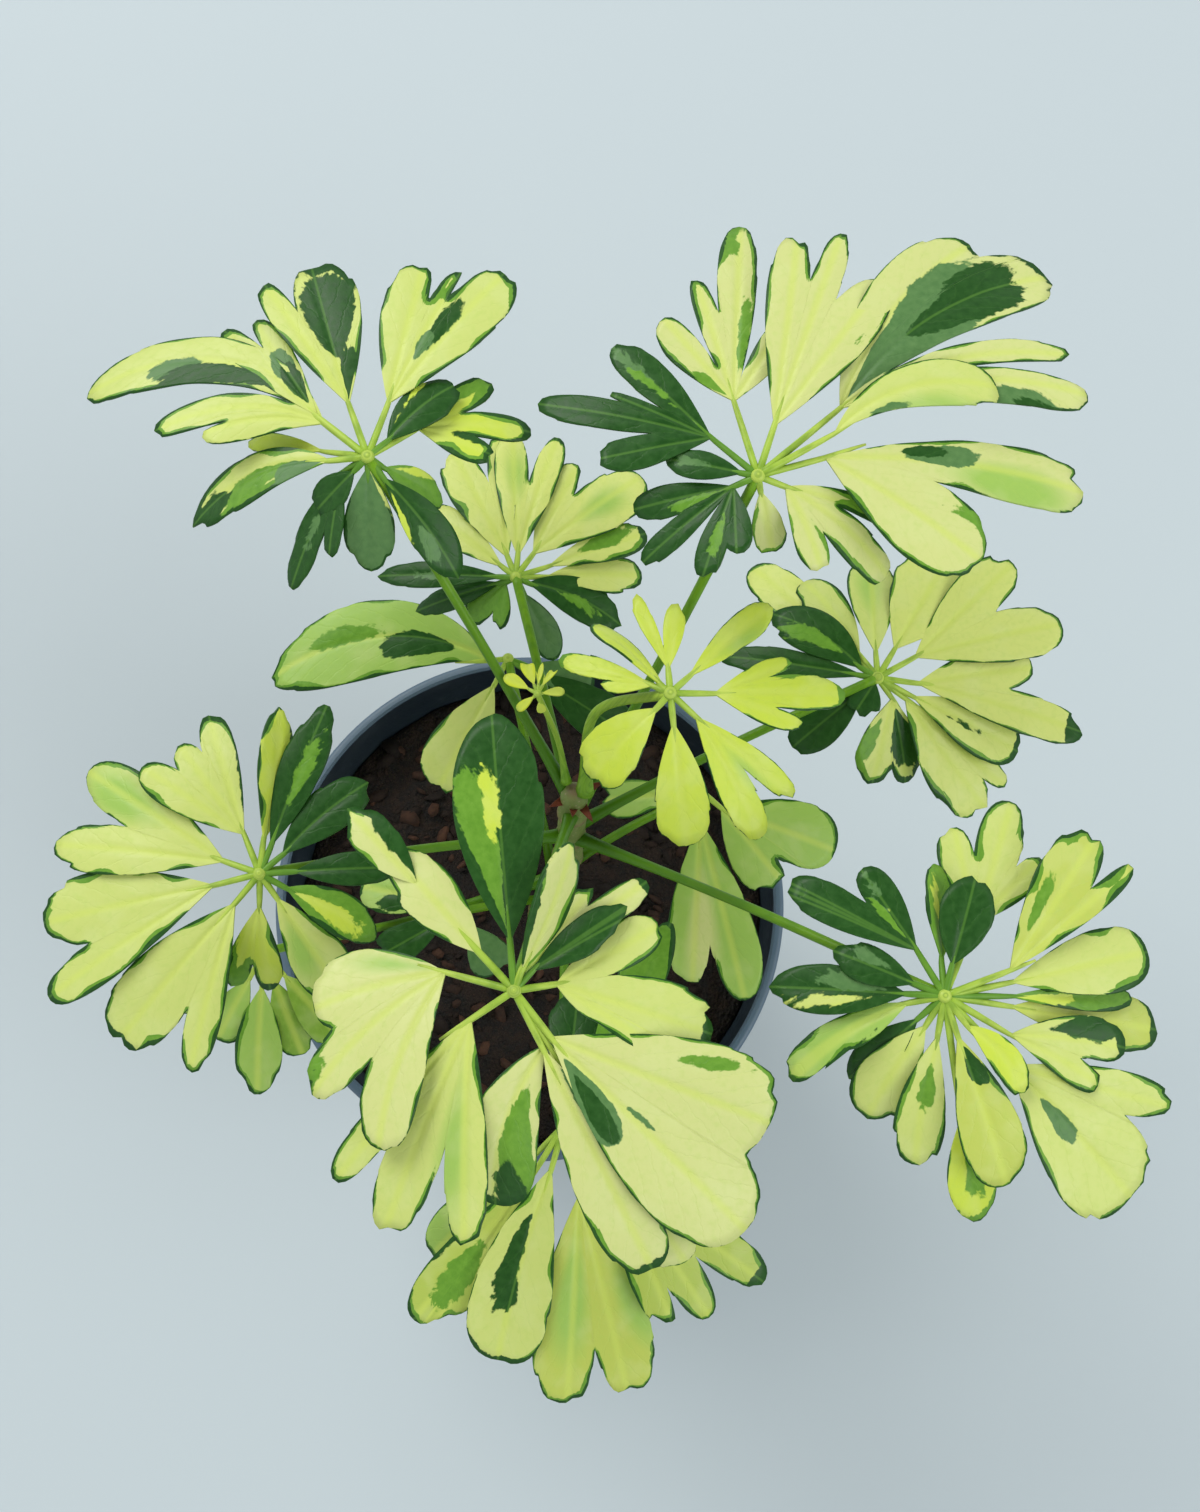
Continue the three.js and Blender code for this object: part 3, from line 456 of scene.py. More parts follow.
            leaflet((908, 1004), 10, [(784, 1078, 38), (835, 1044, 34)], "light", 1, sweep=12,
                patches=[left("dark", 0)]),
            leaflet((915, 1018), 12, [(846, 1080, 40, 0.6)], "dark"),
            leaflet((955, 968), -3, [(974, 874, 56, 0.6)], "dark"),
            leaflet((974, 925), 6, [(950, 828, 46), (1010, 802, 56), (1036, 862, 36)], "fresh", 0.9),
            leaflet((1008, 972), 4, [(1092, 836, 68), (1132, 866, 28)], "honey", 1,
                patches=[left("dark", 0), spot("green", 0, 1035, 905, 30, 6)]),
            leaflet((1008, 980), 8, [(1146, 954, 68)], "fresh", 1.1),
            leaflet((1005, 998), 10, [(1132, 1000, 28)], "green", 0.8,
                patches=[spot("lime", 0, 1040, 1000, 30, 4)]),
            leaflet((1008, 1035), 8, [(1126, 1050, 50), (1098, 1088, 34)], "fresh", 0.7, sweep=-8,
                patches=[spot("dark", 0, 1085, 1028, 40, 13), left("dark", 0, 0.65, 0.5, 0.2)]),
            leaflet((1006, 1018), 14, [(1156, 1032, 60)], "honey", 0.7, patches=[tip("dark", 0)]),
            leaflet((1012, 1066), 12, [(1165, 1106, 46), (1130, 1200, 112, 0.74)], "fresh", 0.6,
                cuts=0.1, patches=[spot("grey", 1, 1052, 1120, 27, 9)]),
            leaflet((962, 1036), 10, [(1004, 1186, 66)], "honey", 0.6,
                patches=[spot("dark", 0, 970, 1065, 22, 8)]),
            leaflet((950, 1036), 14, [(914, 1166, 52)], "fresh", 0.8, sweep=8,
                patches=[right("dark", 0), spot("green", 0, 925, 1085, 24, 8)]),
            leaflet((960, 1120), 18, [(975, 1222, 50, 0.6)], "lime", 0.4,
                patches=[spot("green", 0, 970, 1170, 30, 8)]),
            leaflet((966, 1028), 3, [(1027, 1102, 34, 0.6)], "lime", 0.6, sweep=-20,
                patches=[tip("dark", 0)]),
            leaflet((938, 1034), 14, [(866, 1118, 66)], "fresh", 0.7, sweep=8,
                patches=[right("dark", 0)]),
        ],
    },
    {
        "name": "leaf_front", "hub": (513, 990), "height": 230, "joint": 0.9,
        "leaflets": [
            leaflet((445, 972), 8, [(311, 1095, 56), (377, 1151, 66), (318, 1010, 90)], "pale",
                0.6, cuts=0.05, sweep=12, patches=[spot("green", 0, 316, 1070, 15, 10),
                    spot("light", 2, 395, 965, 30, 6), spot("dark", 0, 312, 1078, 8, 4)]),
            leaflet((470, 1020), 14, [(336, 1180, 40), (380, 1236, 66), (464, 1247, 50)], "fresh",
                0.6, cuts=0.15, patches=[spot("light", 2, 455, 1150, 60, 14)]),
            leaflet((545, 1042), 12, [(494, 1203, 82)], "pale", 0.7, sweep=24,
                patches=[spot("green", 0, 514, 1140, 58, 17), spot("dark", 0, 508, 1184, 22, 18),
                    right("dark", 0, 0.45, 0.4, 0.2)]),
            leaflet((548, 1044), 16, [(652, 1272, 76)], "pale", 0.8,
                patches=[spot("grey", 0, 588, 1100, 40, 12), tip("dark", 0, 0.05),
                    right("dark", 0, 0.8, 0.2, 0.15)]),
            leaflet((550, 1042), 20, [(684, 1264, 80)], "pale", 0.3,
                patches=[spot("light", 0, 660, 1190, 40, 10)]),
            leaflet((550, 1038), 12, [(767, 1120, 112, 0.75), (748, 1232, 112)], "pale", 0.5,
                cuts=0, patches=[spot("grey", 0, 638, 1116, 24, 3),
                    spot("green", 0, 706, 1060, 34, 6), spot("grey", 1, 588, 1099, 48, 15),
                    spot("dark", 1, 593, 1108, 36, 10)]),
            leaflet((556, 984), 8, [(712, 1034, 82), (655, 928, 48), (606, 1018, 24)], "fresh",
                0.6, cuts=0.15, patches=[tip("dark", 0, 0.08)]),
            leaflet((530, 972), 2, [(628, 903, 36, 0.6), (606, 928, 32)], "dark", cuts=0.15,
                patches=[spot("grey", 0, 570, 915, 20, 6)]),
            leaflet((532, 966), 6, [(646, 880, 34), (590, 888, 28)], "pale", 0.8, cuts=0.15,
                patches=[tip("dark", 0)]),
            leaflet((518, 968), -6, [(570, 842, 60, 0.6)], "pale", 1, roll=55,
                patches=[left("dark", 0, 0.65, 0.6, 0.6)]),
            leaflet((500, 945), -6, [(492, 709, 92, 0.6)], "dark",
                patches=[spot("green", 0, 484, 845, 76, 15), spot("lime", 0, 490, 806, 36, 9)]),
            leaflet((470, 838), -2, [(344, 806, 46, 0.6)], "pale", 0.7,
                patches=[right("dark", 0, 0.55, 0.5, 0.9)]),
            leaflet((497, 940), 0, [(386, 848, 58, 0.6)], "pale", 0.7,
                patches=[left("dark", 0, 0.6, 0.45, 0.4)]),
        ],
    },
    {
        "name": "leaf_left", "hub": (258, 873), "height": 200, "joint": 0.78,
        "leaflets": [
            leaflet((215, 885), 10, [(44, 924, 78), (44, 998, 48)], "fresh", 1, cuts=0.1),
            leaflet((225, 862), 6, [(50, 844, 54), (86, 772, 56)], "fresh", 0.6, cuts=0.1,
                patches=[spot("light", 1, 125, 800, 44, 20)]),
            leaflet((242, 832), 2, [(208, 714, 36), (178, 744, 46), (142, 768, 42)], "fresh", 0.8,
                cuts=0.1, patches=[right("dark", 0, 0.65, 0.5, 0.4)]),
            leaflet((262, 840), -4, [(278, 704, 44, 0.6)], "lime", 1, roll=50,
                patches=[right("dark", 0, 0.75, 0.35, 0.7)]),
            leaflet((270, 846), -4, [(326, 704, 44, 0.6)], "dark",
                patches=[spot("green", 0, 302, 775, 38, 7)]),
            leaflet((285, 858), -2, [(372, 779, 48, 0.6)], "dark", sweep=-8),
            leaflet((290, 866), 2, [(402, 866, 36, 0.6)], "dark"),
            leaflet((288, 878), 4, [(377, 938, 44, 0.6)], "green", 1.4, sweep=-8,
                patches=[spot("lime", 0, 326, 910, 36, 8)]),
            leaflet((266, 902), 10, [(342, 994, 58)], "fresh", 0.8,
                patches=[spot("light", 0, 300, 950, 30, 12), left("dark", 0)]),
            leaflet((258, 905), 14, [(270, 990, 32), (232, 984, 28)], "lime", 0.9, cuts=0.1,
                patches=[tip("dark", 0, 0.12), spot("green", 0, 240, 975, 16, 9)]),
            leaflet((236, 902), 12, [(115, 1042, 80), (192, 1070, 40)], "fresh", 0.9, cuts=0.1,
                patches=[right("dark", 0, 0.7, 0.35, 0.2), tip("dark", 0, 0.06)]),
        ],
    },
    {
        "name": "leaf_front_low", "hub": (562, 1125), "height": 165, "joint": 0.64,
        "leaflets": [
            leaflet((552, 1166), 10, [(494, 1362, 84, 0.74)], "fresh", 0.9, sweep=5,
                patches=[spot("dark", 0, 512, 1255, 52, 9), spot("dark", 0, 506, 1290, 18, 12),
                    right("dark", 0, 0.85, 0.15, 0.2)]),
            leaflet((578, 1192), 14, [(566, 1404, 78), (626, 1396, 78)], "honey", 0.6,
                patches=[spot("light", 1, 635, 1300, 40, 16), spot("light", 0, 570, 1290, 60, 14)]),
            # Partly painted shade: the shade ground of this leaflet and the next
            leaflet((606, 1165), 12, [(765, 1284, 50), (708, 1318, 60), (668, 1322, 50)], "shade",
                0.8, patches=[tip("dark", 0, 0.08)]),
            leaflet((532, 1172), 12, [(442, 1310, 50), (412, 1318, 50)], "shade", 0.9,
                patches=[spot("green", 0, 460, 1270, 40, 14), right("dark", 0)]),
            leaflet((590, 1085), 4, [(672, 918, 46, 0.6)], "green", 1.2),
            leaflet((564, 1090), 6, [(578, 990, 56, 0.6)], "dark"),
            leaflet((538, 1150), 16, [(432, 1254, 56)], "light", 0.6),
        ],
    },
    {
        "name": "leaf_left_low", "hub": (262, 950), "height": 150, "joint": 0.56, "rise": -9,
        "leaflets": [
            leaflet((252, 978), 8, [(216, 1040, 42)], "light", 0.6),
            leaflet((260, 985), 10, [(256, 1094, 48, 0.6)], "light", 0.7),
            # Partly painted shade: the darker olive ground of this leaflet and the next
            leaflet((274, 978), 8, [(302, 1052, 42)], "olive", 0.6),
            leaflet((285, 968), 6, [(345, 1040, 44)], "olive", 0.8),
            leaflet((236, 962), 4, [(170, 1000, 44)], "light", 0.6),
        ],
    },
    {
        "name": "leaf_back_left_low", "hub": (510, 660), "height": 152, "joint": 0.5,
        "leaflets": [
            leaflet((494, 662), 2, [(268, 684, 86, 0.6)], "light", 0.8, sweep=33,
                patches=[spot("dark", 0, 422, 648, 36, 13), spot("green", 0, 350, 640, 34, 10)]),
            leaflet((505, 690), 8, [(440, 792, 66)], "fresh", 0.6),
            leaflet((530, 672), 4, [(596, 690, 40)], "grey", 1),
            leaflet((525, 684), 8, [(640, 744, 52)], "dark"),
        ],
    },
    {
        "name": "leaf_right_low", "hub": (700, 792), "height": 150, "joint": 0.6,
        "leaflets": [
            leaflet((698, 822), 10, [(744, 1004, 56), (690, 988, 56)], "light", 0.5,
                patches=[spot("pale", 0, 700, 930, 50, 14)]),
            leaflet((718, 808), 6, [(780, 884, 64), (835, 852, 72)], "light", 0.8,
                patches=[right("dark", 0)]),
            leaflet((680, 800), 4, [(602, 802, 40)], "light", 0.5),
        ],
    },
    {
        "name": "leaf_middle_low", "hub": (462, 912), "height": 140, "joint": 0.42, "rise": 2,
        "leaflets": [
            leaflet((445, 905), 4, [(362, 888, 44)], "light", 1,
                patches=[spot("dark", 0, 400, 905, 20, 8)]),
            leaflet((448, 918), 6, [(376, 960, 40)], "dark"),
            leaflet((468, 930), 6, [(500, 976, 44)], "grey", 0.6),
        ],
    },
]


# Meshes


def mapped_grid(bm, columns, rows, spots):
    """A grid whose vertex in column i and row j goes to spots[i, j], in millimetres."""
    made = bmesh.ops.create_grid(bm, x_segments=columns, y_segments=rows, size=1.0)["verts"]
    order = {}
    for vert in made:
        i = round((vert.co.x + 1) / 2 * columns)
        j = round((vert.co.y + 1) / 2 * rows)
        vert.co = Vector(spots[i, j]) * MM
        order[i, j] = vert
    return order


def faces_of(verts):
    return list({face for vert in verts for face in vert.link_faces})


def curve_points(points, count):
    """Points evenly spread along a smooth curve through the given ones."""
    points = [np.array(p, float) for p in points]
    padded = [2 * points[0] - points[1], *points, 2 * points[-1] - points[-2]]
    dense = []
    for p0, p1, p2, p3 in zip(padded, padded[1:], padded[2:], padded[3:]):
        d0, d1, d2 = (math.sqrt(np.linalg.norm(b - a)) for a, b in ((p0, p1), (p1, p2), (p2, p3)))
        out = ((p1 - p0) / d0 - (p2 - p0) / (d0 + d1) + (p2 - p1) / d1) * d1
        into = ((p2 - p1) / d1 - (p3 - p1) / (d1 + d2) + (p3 - p2) / d2) * d1
        for t in np.linspace(0, 1, CURVE_STEPS, endpoint=False):
            bend = -3 * p1 + 3 * p2 - 2 * out - into
            dense.append(p1 + out * t + bend * t**2 + (2 * p1 - 2 * p2 + out + into) * t**3)
    dense = np.array(dense + [points[-1]])
    way = np.concatenate([[0], np.cumsum(np.linalg.norm(np.diff(dense, axis=0), axis=1))])
    places = np.linspace(0, way[-1], count + 1)
    return np.stack([np.interp(places, way, dense[:, axis]) for axis in range(3)], axis=1)


def add_tube(bm, path, radii, sides, flat=1.0):
    """A closed tube along a path. Flat below 1 squashes it from above."""
    steps = len(path) - 1
    spots = np.zeros((sides + 1, steps + 1, 3))
    ahead = Vector(path[1] - path[0]).normalized()
    across = Vector((0, 0, 1)).cross(ahead)
    across = across.normalized() if across.length > 0.01 else Vector((1, 0, 0))
    for j in range(steps + 1):
        ahead = Vector(path[min(j + 1, steps)] - path[max(j - 1, 0)]).normalized()
        across = (across - ahead * across.dot(ahead)).normalized()
        over = ahead.cross(across)
        for i in range(sides + 1):
            angle = 2 * math.pi * i / sides
            round_part = across * math.cos(angle) + over * (flat * math.sin(angle))
            spots[i, j] = path[j] + np.array(round_part) * radii[j]
    order = mapped_grid(bm, sides, steps, spots)
    verts = list(order.values())
    bmesh.ops.remove_doubles(bm, verts=verts, dist=FINE_WELD * MM)
    verts = [v for v in verts if v.is_valid]
    rims = [e for e in {e for v in verts for e in v.link_edges} if e.is_boundary]
    bmesh.ops.holes_fill(bm, edges=rims, sides=0)
    bmesh.ops.recalc_face_normals(bm, faces=faces_of(verts))
    return verts


def thicken(bm, sheet, offset):
    """Gives a sheet of faces a thickness, and returns all the faces of the solid."""
    raised = bmesh.ops.extrude_face_region(bm, geom=sheet, use_keep_orig=True)["geom"]
    upper = [v for v in raised if isinstance(v, bmesh.types.BMVert)]
    bmesh.ops.translate(bm, verts=upper, vec=offset)
    faces = faces_of(upper) + sheet
    bmesh.ops.recalc_face_normals(bm, faces=faces)
    return faces


def object_from(bm, name, materials=()):
    """Turns a bmesh into an object of the scene."""
    mesh = bpy.data.meshes.new(name)
    bm.to_mesh(mesh)
    bm.free()
    for material in materials:
        mesh.materials.append(material)
    made = bpy.data.objects.new(name, mesh)
    bpy.context.scene.collection.objects.link(made)
    return made


def finish_piece(bm, name, node, materials):
    """Makes a bmesh an object that stands for a CAD node, with smooth faces."""
    for face in bm.faces:
        face.smooth = True
    piece = object_from(bm, name, materials)
    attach(piece, "root")
    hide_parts(node)
    return piece


# Materials


class Finish:
    """A node material with one Principled shader, built up a node at a time."""

    def __init__(self, name, **settings):
        self.material = bpy.data.materials.new(name)
        self.material.use_nodes = True
        self.nodes = self.material.node_tree.nodes
        self.links = self.material.node_tree.links
        self.shader = self.nodes["Principled BSDF"]
        for socket, value in settings.items():
            self.shader.inputs[socket.replace("_", " ")].default_value = value

    def put(self, socket, value):
        """Links a socket, or sets its value where it is a plain number or colour."""
        if isinstance(value, bpy.types.NodeSocket):
            self.links.new(value, socket)
        elif isinstance(value, tuple) and len(value) == 3 and socket.type == "RGBA":
            socket.default_value = (*value, 1.0)
        else:
            socket.default_value = value

    def attribute(self, name, output="Fac"):
        node = self.nodes.new("ShaderNodeAttribute")
        node.attribute_name = name
        return node.outputs[output]

    def place(self):
        return self.nodes.new("ShaderNodeTexCoord").outputs["Object"]

    def height(self, place):
        node = self.nodes.new("ShaderNodeSeparateXYZ")
        self.put(node.inputs[0], place)
        return node.outputs["Z"]

    def math(self, operation, a, b=0.0):
        node = self.nodes.new("ShaderNodeMath")
        node.operation = operation
        for socket, value in zip(node.inputs, (a, b)):
            self.put(socket, value)
        return node.outputs[0]

    def plus(self, a, b):
        return self.math("ADD", a, b)

    def minus(self, a, b):
        return self.math("SUBTRACT", a, b)

    def times(self, a, b):
        return self.math("MULTIPLY", a, b)

    def vector(self, x, y, z):
        node = self.nodes.new("ShaderNodeCombineXYZ")
        for socket, value in zip(node.inputs, (x, y, z)):
            self.put(socket, value)
        return node.outputs[0]

    def noise(self, where, scale, detail=2.0, roughness=0.5):
        node = self.nodes.new("ShaderNodeTexNoise")
        self.put(node.inputs["Vector"], where)
        self.put(node.inputs["Scale"], scale)
        self.put(node.inputs["Detail"], detail)
        self.put(node.inputs["Roughness"], roughness)
        return node.outputs["Fac"]

    def cells(self, where, scale):
        node = self.nodes.new("ShaderNodeTexVoronoi")
        self.put(node.inputs["Vector"], where)
        self.put(node.inputs["Scale"], scale)
        return node.outputs["Distance"]

    def between(self, value, low, high, to_low=0.0, to_high=1.0):
        """Goes smoothly from one value to another as value goes from low to high."""
        node = self.nodes.new("ShaderNodeMapRange")
        node.interpolation_type = "SMOOTHSTEP"
        for socket, number in zip(node.inputs, (value, low, high, to_low, to_high)):
            self.put(socket, number)
        return node.outputs[0]

    def mix(self, share, a, b):
        node = self.nodes.new("ShaderNodeMix")
        node.data_type = "RGBA"
        self.put(node.inputs[0], share)
        self.put(node.inputs[6], a)
        self.put(node.inputs[7], b)
        return node.outputs[2]

    def colour(self, value):
        self.put(self.shader.inputs["Base Color"], value)

    def roughness(self, value):
        self.put(self.shader.inputs["Roughness"], value)

    def roughness_over(self, field, smooth, rough):
        self.roughness(self.between(field, NOISE_LOW, NOISE_HIGH, smooth, rough))

    def bump(self, height, distance):
        node = self.nodes.new("ShaderNodeBump")
        node.inputs["Distance"].default_value = distance * MM
        node.inputs["Strength"].default_value = 1.0
        self.put(node.inputs["Height"], height)
        self.put(self.shader.inputs["Normal"], node.outputs[0])


def leaf_finish(name, under):
    """Variegated leaf: pale or lime ground, then mid green, grey-green and dark green areas
    whose edges are torn along the side veins."""
    finish = Finish(name, Specular_IOR_Level=0.2)
    run = finish.attribute("run")
    aside = finish.attribute("aside")
    seed = finish.attribute("seed")
    off_rib = finish.math("ABSOLUTE", aside)
    slant = finish.minus(finish.times(run, 0.5), finish.times(off_rib, 0.87))
    level = finish.plus(finish.times(run, 0.87), finish.times(off_rib, 0.5))
    on_leaf = finish.vector(run, aside, seed)
    by_vein = finish.vector(slant, finish.times(level, 0.3), seed)

    torn = finish.minus(finish.noise(by_vein, 0.75, 2.0, 0.6), 0.5)
    blotchy = finish.minus(finish.noise(on_leaf, 0.5, 3.0, 0.6), 0.5)
    jag = finish.plus(finish.times(torn, 1.2), blotchy)

    cloudy = finish.noise(on_leaf, 0.13, 2.0)
    mottle = finish.noise(on_leaf, 0.7, 3.0)
    ground = finish.attribute("ground", "Color")
    ground = finish.mix(finish.between(cloudy, 0.45, 0.7, 0.0, 0.25), ground, (0.58, 0.64, 0.27))
    ground = finish.mix(finish.between(mottle, 0.45, 0.75, 0.0, 0.2), ground, (0.36, 0.52, 0.08))
    near_rib = finish.between(off_rib, 0.1, 1.3, 0.5, 0.0)
    ground = finish.mix(near_rib, ground, (0.53, 0.62, 0.11))

    vein = finish.math("PINGPONG", finish.plus(slant, finish.times(blotchy, 2.0)), 1.5)
    vein = finish.between(vein, 0.0, 0.3, 1.0, 0.0)
    ground = finish.mix(finish.times(vein, 0.07), ground, (0.40, 0.54, 0.10))

    tints = {area: finish.mix(mottle, *AREA_TONES[area]) for area in LAYERS}
    veined = finish.mix(finish.times(vein, 0.12), tints["dark"], (0.05, 0.15, 0.02))
    rib_light = finish.between(off_rib, 0.08, 0.4, 0.5, 0.0)
    tints["dark"] = finish.mix(rib_light, veined, (0.09, 0.22, 0.03))

    colour = ground
    for area, tint in tints.items():
        field = finish.plus(finish.attribute(area), jag)
        colour = finish.mix(finish.between(field, -0.12, 0.12), colour, tint)
    if under:
        colour = finish.mix(0.3, colour, (0.32, 0.46, 0.13))
    finish.colour(colour)
    smooth, rough = (0.5, 0.62) if under else (0.3, 0.42)
    finish.roughness_over(mottle, smooth, rough)
    relief = finish.plus(finish.times(mottle, 0.5), finish.times(vein, -0.3))
    finish.bump(relief, 0.09)
    return finish.material


def stalk_finish():
    finish = Finish("stalk_green", Specular_IOR_Level=0.2)
    run = finish.attribute("run")
    lengthwise = finish.times(run, 0.08)
    on_stalk = finish.vector(lengthwise, finish.attribute("aside"), finish.attribute("seed"))
    streaks = finish.noise(on_stalk, 2.5, 3.0)
    ground = finish.attribute("ground", "Color")
    finish.colour(finish.mix(finish.between(streaks, 0.4, 0.7, 0.0, 0.45), ground, (0.05, 0.16, 0.006)))
    finish.roughness_over(streaks, 0.3, 0.42)
    finish.bump(streaks, 0.05)
    return finish.material


def bark_finish():
    finish = Finish("green_bark", Specular_IOR_Level=0.4)
    place = finish.place()
    patches = finish.noise(place, 140.0, 3.0)
    specks = finish.cells(place, 900.0)
    colour = finish.mix(patches, (0.085, 0.13, 0.025), (0.20, 0.25, 0.06))
    colour = finish.mix(finish.between(specks, 0.12, 0.28, 0.7, 0.0), colour, (0.33, 0.27, 0.15))
    colour = finish.mix(finish.attribute("scar"), colour, (0.17, 0.11, 0.055))
    finish.colour(colour)
    finish.roughness_over(patches, 0.45, 0.65)
    finish.bump(finish.noise(place, 700.0, 4.0), 0.25)
    return finish.material


def scale_finish():
    finish = Finish("dry_bud_scale", Specular_IOR_Level=0.3)
    grain = finish.noise(finish.place(), 600.0, 3.0)
    finish.colour(finish.mix(grain, (0.07, 0.012, 0.006), (0.20, 0.05, 0.02)))
    finish.roughness(0.65)
    finish.bump(grain, 0.1)
    return finish.material


def soil_finish():
    finish = Finish("potting_soil", Specular_IOR_Level=0.3)
    place = finish.place()
    clods = finish.noise(place, 260.0, 5.0, 0.65)
    grit = finish.cells(place, 1100.0)
    dampness = finish.between(clods, 0.35, 0.65)
    colour = finish.mix(dampness, (0.004, 0.003, 0.002), (0.022, 0.013, 0.009))
    colour = finish.mix(finish.between(grit, 0.1, 0.2, 0.5, 0.0), colour, (0.06, 0.028, 0.018))
    finish.colour(colour)
    finish.roughness_over(clods, 0.7, 0.95)
    finish.bump(finish.plus(clods, finish.times(grit, 0.4)), 1.4)
    return finish.material


def chip_finish():
    finish = Finish("bark_chips", Specular_IOR_Level=0.3)
    grain = finish.noise(finish.place(), 500.0, 4.0)
    tone = finish.attribute("tone")
    colour = finish.mix(tone, (0.010, 0.006, 0.004), (0.075, 0.032, 0.017))
    dark_grain = finish.between(grain, 0.35, 0.7, 0.0, 0.5)
    finish.colour(finish.mix(dark_grain, colour, (0.012, 0.008, 0.006)))
    finish.roughness(0.85)
    finish.bump(grain, 0.4)
    return finish.material


def plastic_finish():
    finish = Finish("dark_plastic", Specular_IOR_Level=0.5)
    place = finish.place()
    dust = finish.noise(place, 38.0, 5.0, 0.65)
    scuffs = finish.noise(place, 420.0, 3.0)
    dusty = finish.between(dust, 0.45, 0.8, 0.0, 0.3)
    colour = finish.mix(dusty, (0.016, 0.026, 0.036), (0.09, 0.11, 0.12))
    # Painted highlight: a lighter blue-grey band along the top of the rim
    rim = finish.between(finish.height(place), (POT_HEIGHT - 1.5) * MM, (POT_HEIGHT - 0.5) * MM, 0.0, 0.55)
    colour = finish.mix(rim, colour, (0.10, 0.17, 0.24))
    scuffed = finish.between(scuffs, 0.62, 0.72, 0.0, 0.15)
    finish.colour(finish.mix(scuffed, colour, (0.12, 0.14, 0.15)))
    finish.roughness_over(dust, 0.36, 0.55)
    finish.bump(finish.noise(place, 900.0, 2.0), 0.06)
    return finish.material


# Leaf blades


def varied(count):
    """A number from 0 to 1 that looks random but is the same for the same leaflet."""
    return (count * 0.618) % 1


def lobe_shape(lobe):
    """How steeply a lobe opens from its base, and how blunt it is."""
    widest = lobe[3] if len(lobe) > 3 else WIDEST
    blunt = 1 / widest - 1
    return lobe[2] / lobe[1] / (widest * (1 - widest) ** blunt), blunt


def lobe_reach(angles, lobe):
    off = np.minimum(np.abs(angles - math.radians(lobe[0])), 1.5)
    slope, blunt = lobe_shape(lobe)
    share = np.minimum(np.tan(off) / slope, 1)
    return lobe[1] * (1 - share ** (1 / blunt)) / np.cos(off)


def on_lobe(angles, r, lobe):
    """How far along a lobe a spot is, and how far aside as a share of the lobe's half width."""
    off = np.clip(angles - math.radians(lobe[0]), -1.4, 1.4)
    return r * np.cos(off) / lobe[1], np.tan(off) / lobe_shape(lobe)[0]


def blade_reach(angles, lobes, cuts):
    """How far the blade reaches: its longest lobe there, cut deeper towards each notch."""
    reach = np.max([lobe_reach(angles, lobe) for lobe in lobes], axis=0)
    asides = sorted(math.radians(lobe[0]) for lobe in lobes)
    for low, high, cut in zip(asides, asides[1:], cuts):
        steps = np.linspace(low, high, NOTCH_STEPS)
        depth = np.max([lobe_reach(steps, lobe) for lobe in lobes], axis=0)
        notch = steps[depth.argmin()]
        if not low < notch < high:
            continue
        span = np.where(angles < notch, notch - low, high - notch)
        near = np.clip(1 - np.abs(angles - notch) / span, 0, 1)
        reach = reach * (1 - cut * near**NOTCH_SHARPNESS)
    return reach


def column_angles(lobes, cuts):
    """Directions from the blade's base, spread evenly along its edge, with the notches kept."""
    sides = [math.atan(lobe_shape(lobe)[0]) for lobe in lobes]
    low = min(math.radians(lobe[0]) - side for lobe, side in zip(lobes, sides))
    high = max(math.radians(lobe[0]) + side for lobe, side in zip(lobes, sides))
    angles = np.linspace(low, high, OUTLINE_STEPS)
    reach = blade_reach(angles, lobes, cuts)
    edge = np.stack([reach * np.cos(angles), reach * np.sin(angles)], axis=1)
    way = np.concatenate([[0], np.cumsum(np.linalg.norm(np.diff(edge, axis=0), axis=1))])
    count = max(FEWEST_COLUMNS, round(way[-1] / COLUMN_SPACING))
    places = np.linspace(0, way[-1], count + 1)
    for i in range(1, len(reach) - 1):
        if reach[i] < reach[i - 1] and reach[i] <= reach[i + 1]:
            places[np.abs(places - way[i]).argmin()] = way[i]
    return np.interp(places, way, angles), np.interp(places, way, way)


def edge_distance(spots, edge):
    """How far each spot lies from the blade's outline."""
    start, step = edge[:-1], np.diff(edge, axis=0)
    flat = spots.reshape(-1, 1, 2)
    share = ((flat - start) * step).sum(-1) / np.maximum((step * step).sum(-1), 1e-9)
    nearest = start + np.clip(share, 0, 1)[..., None] * step
    return np.linalg.norm(flat - nearest, axis=-1).min(axis=1).reshape(spots.shape[:-1])


def noise_at(x, y, seed, scale):
    """Smooth noise from -1 to 1 over arrays of places."""
    return np.vectorize(lambda a, b: noise.noise(Vector((a / scale, b / scale, seed))))(x, y)


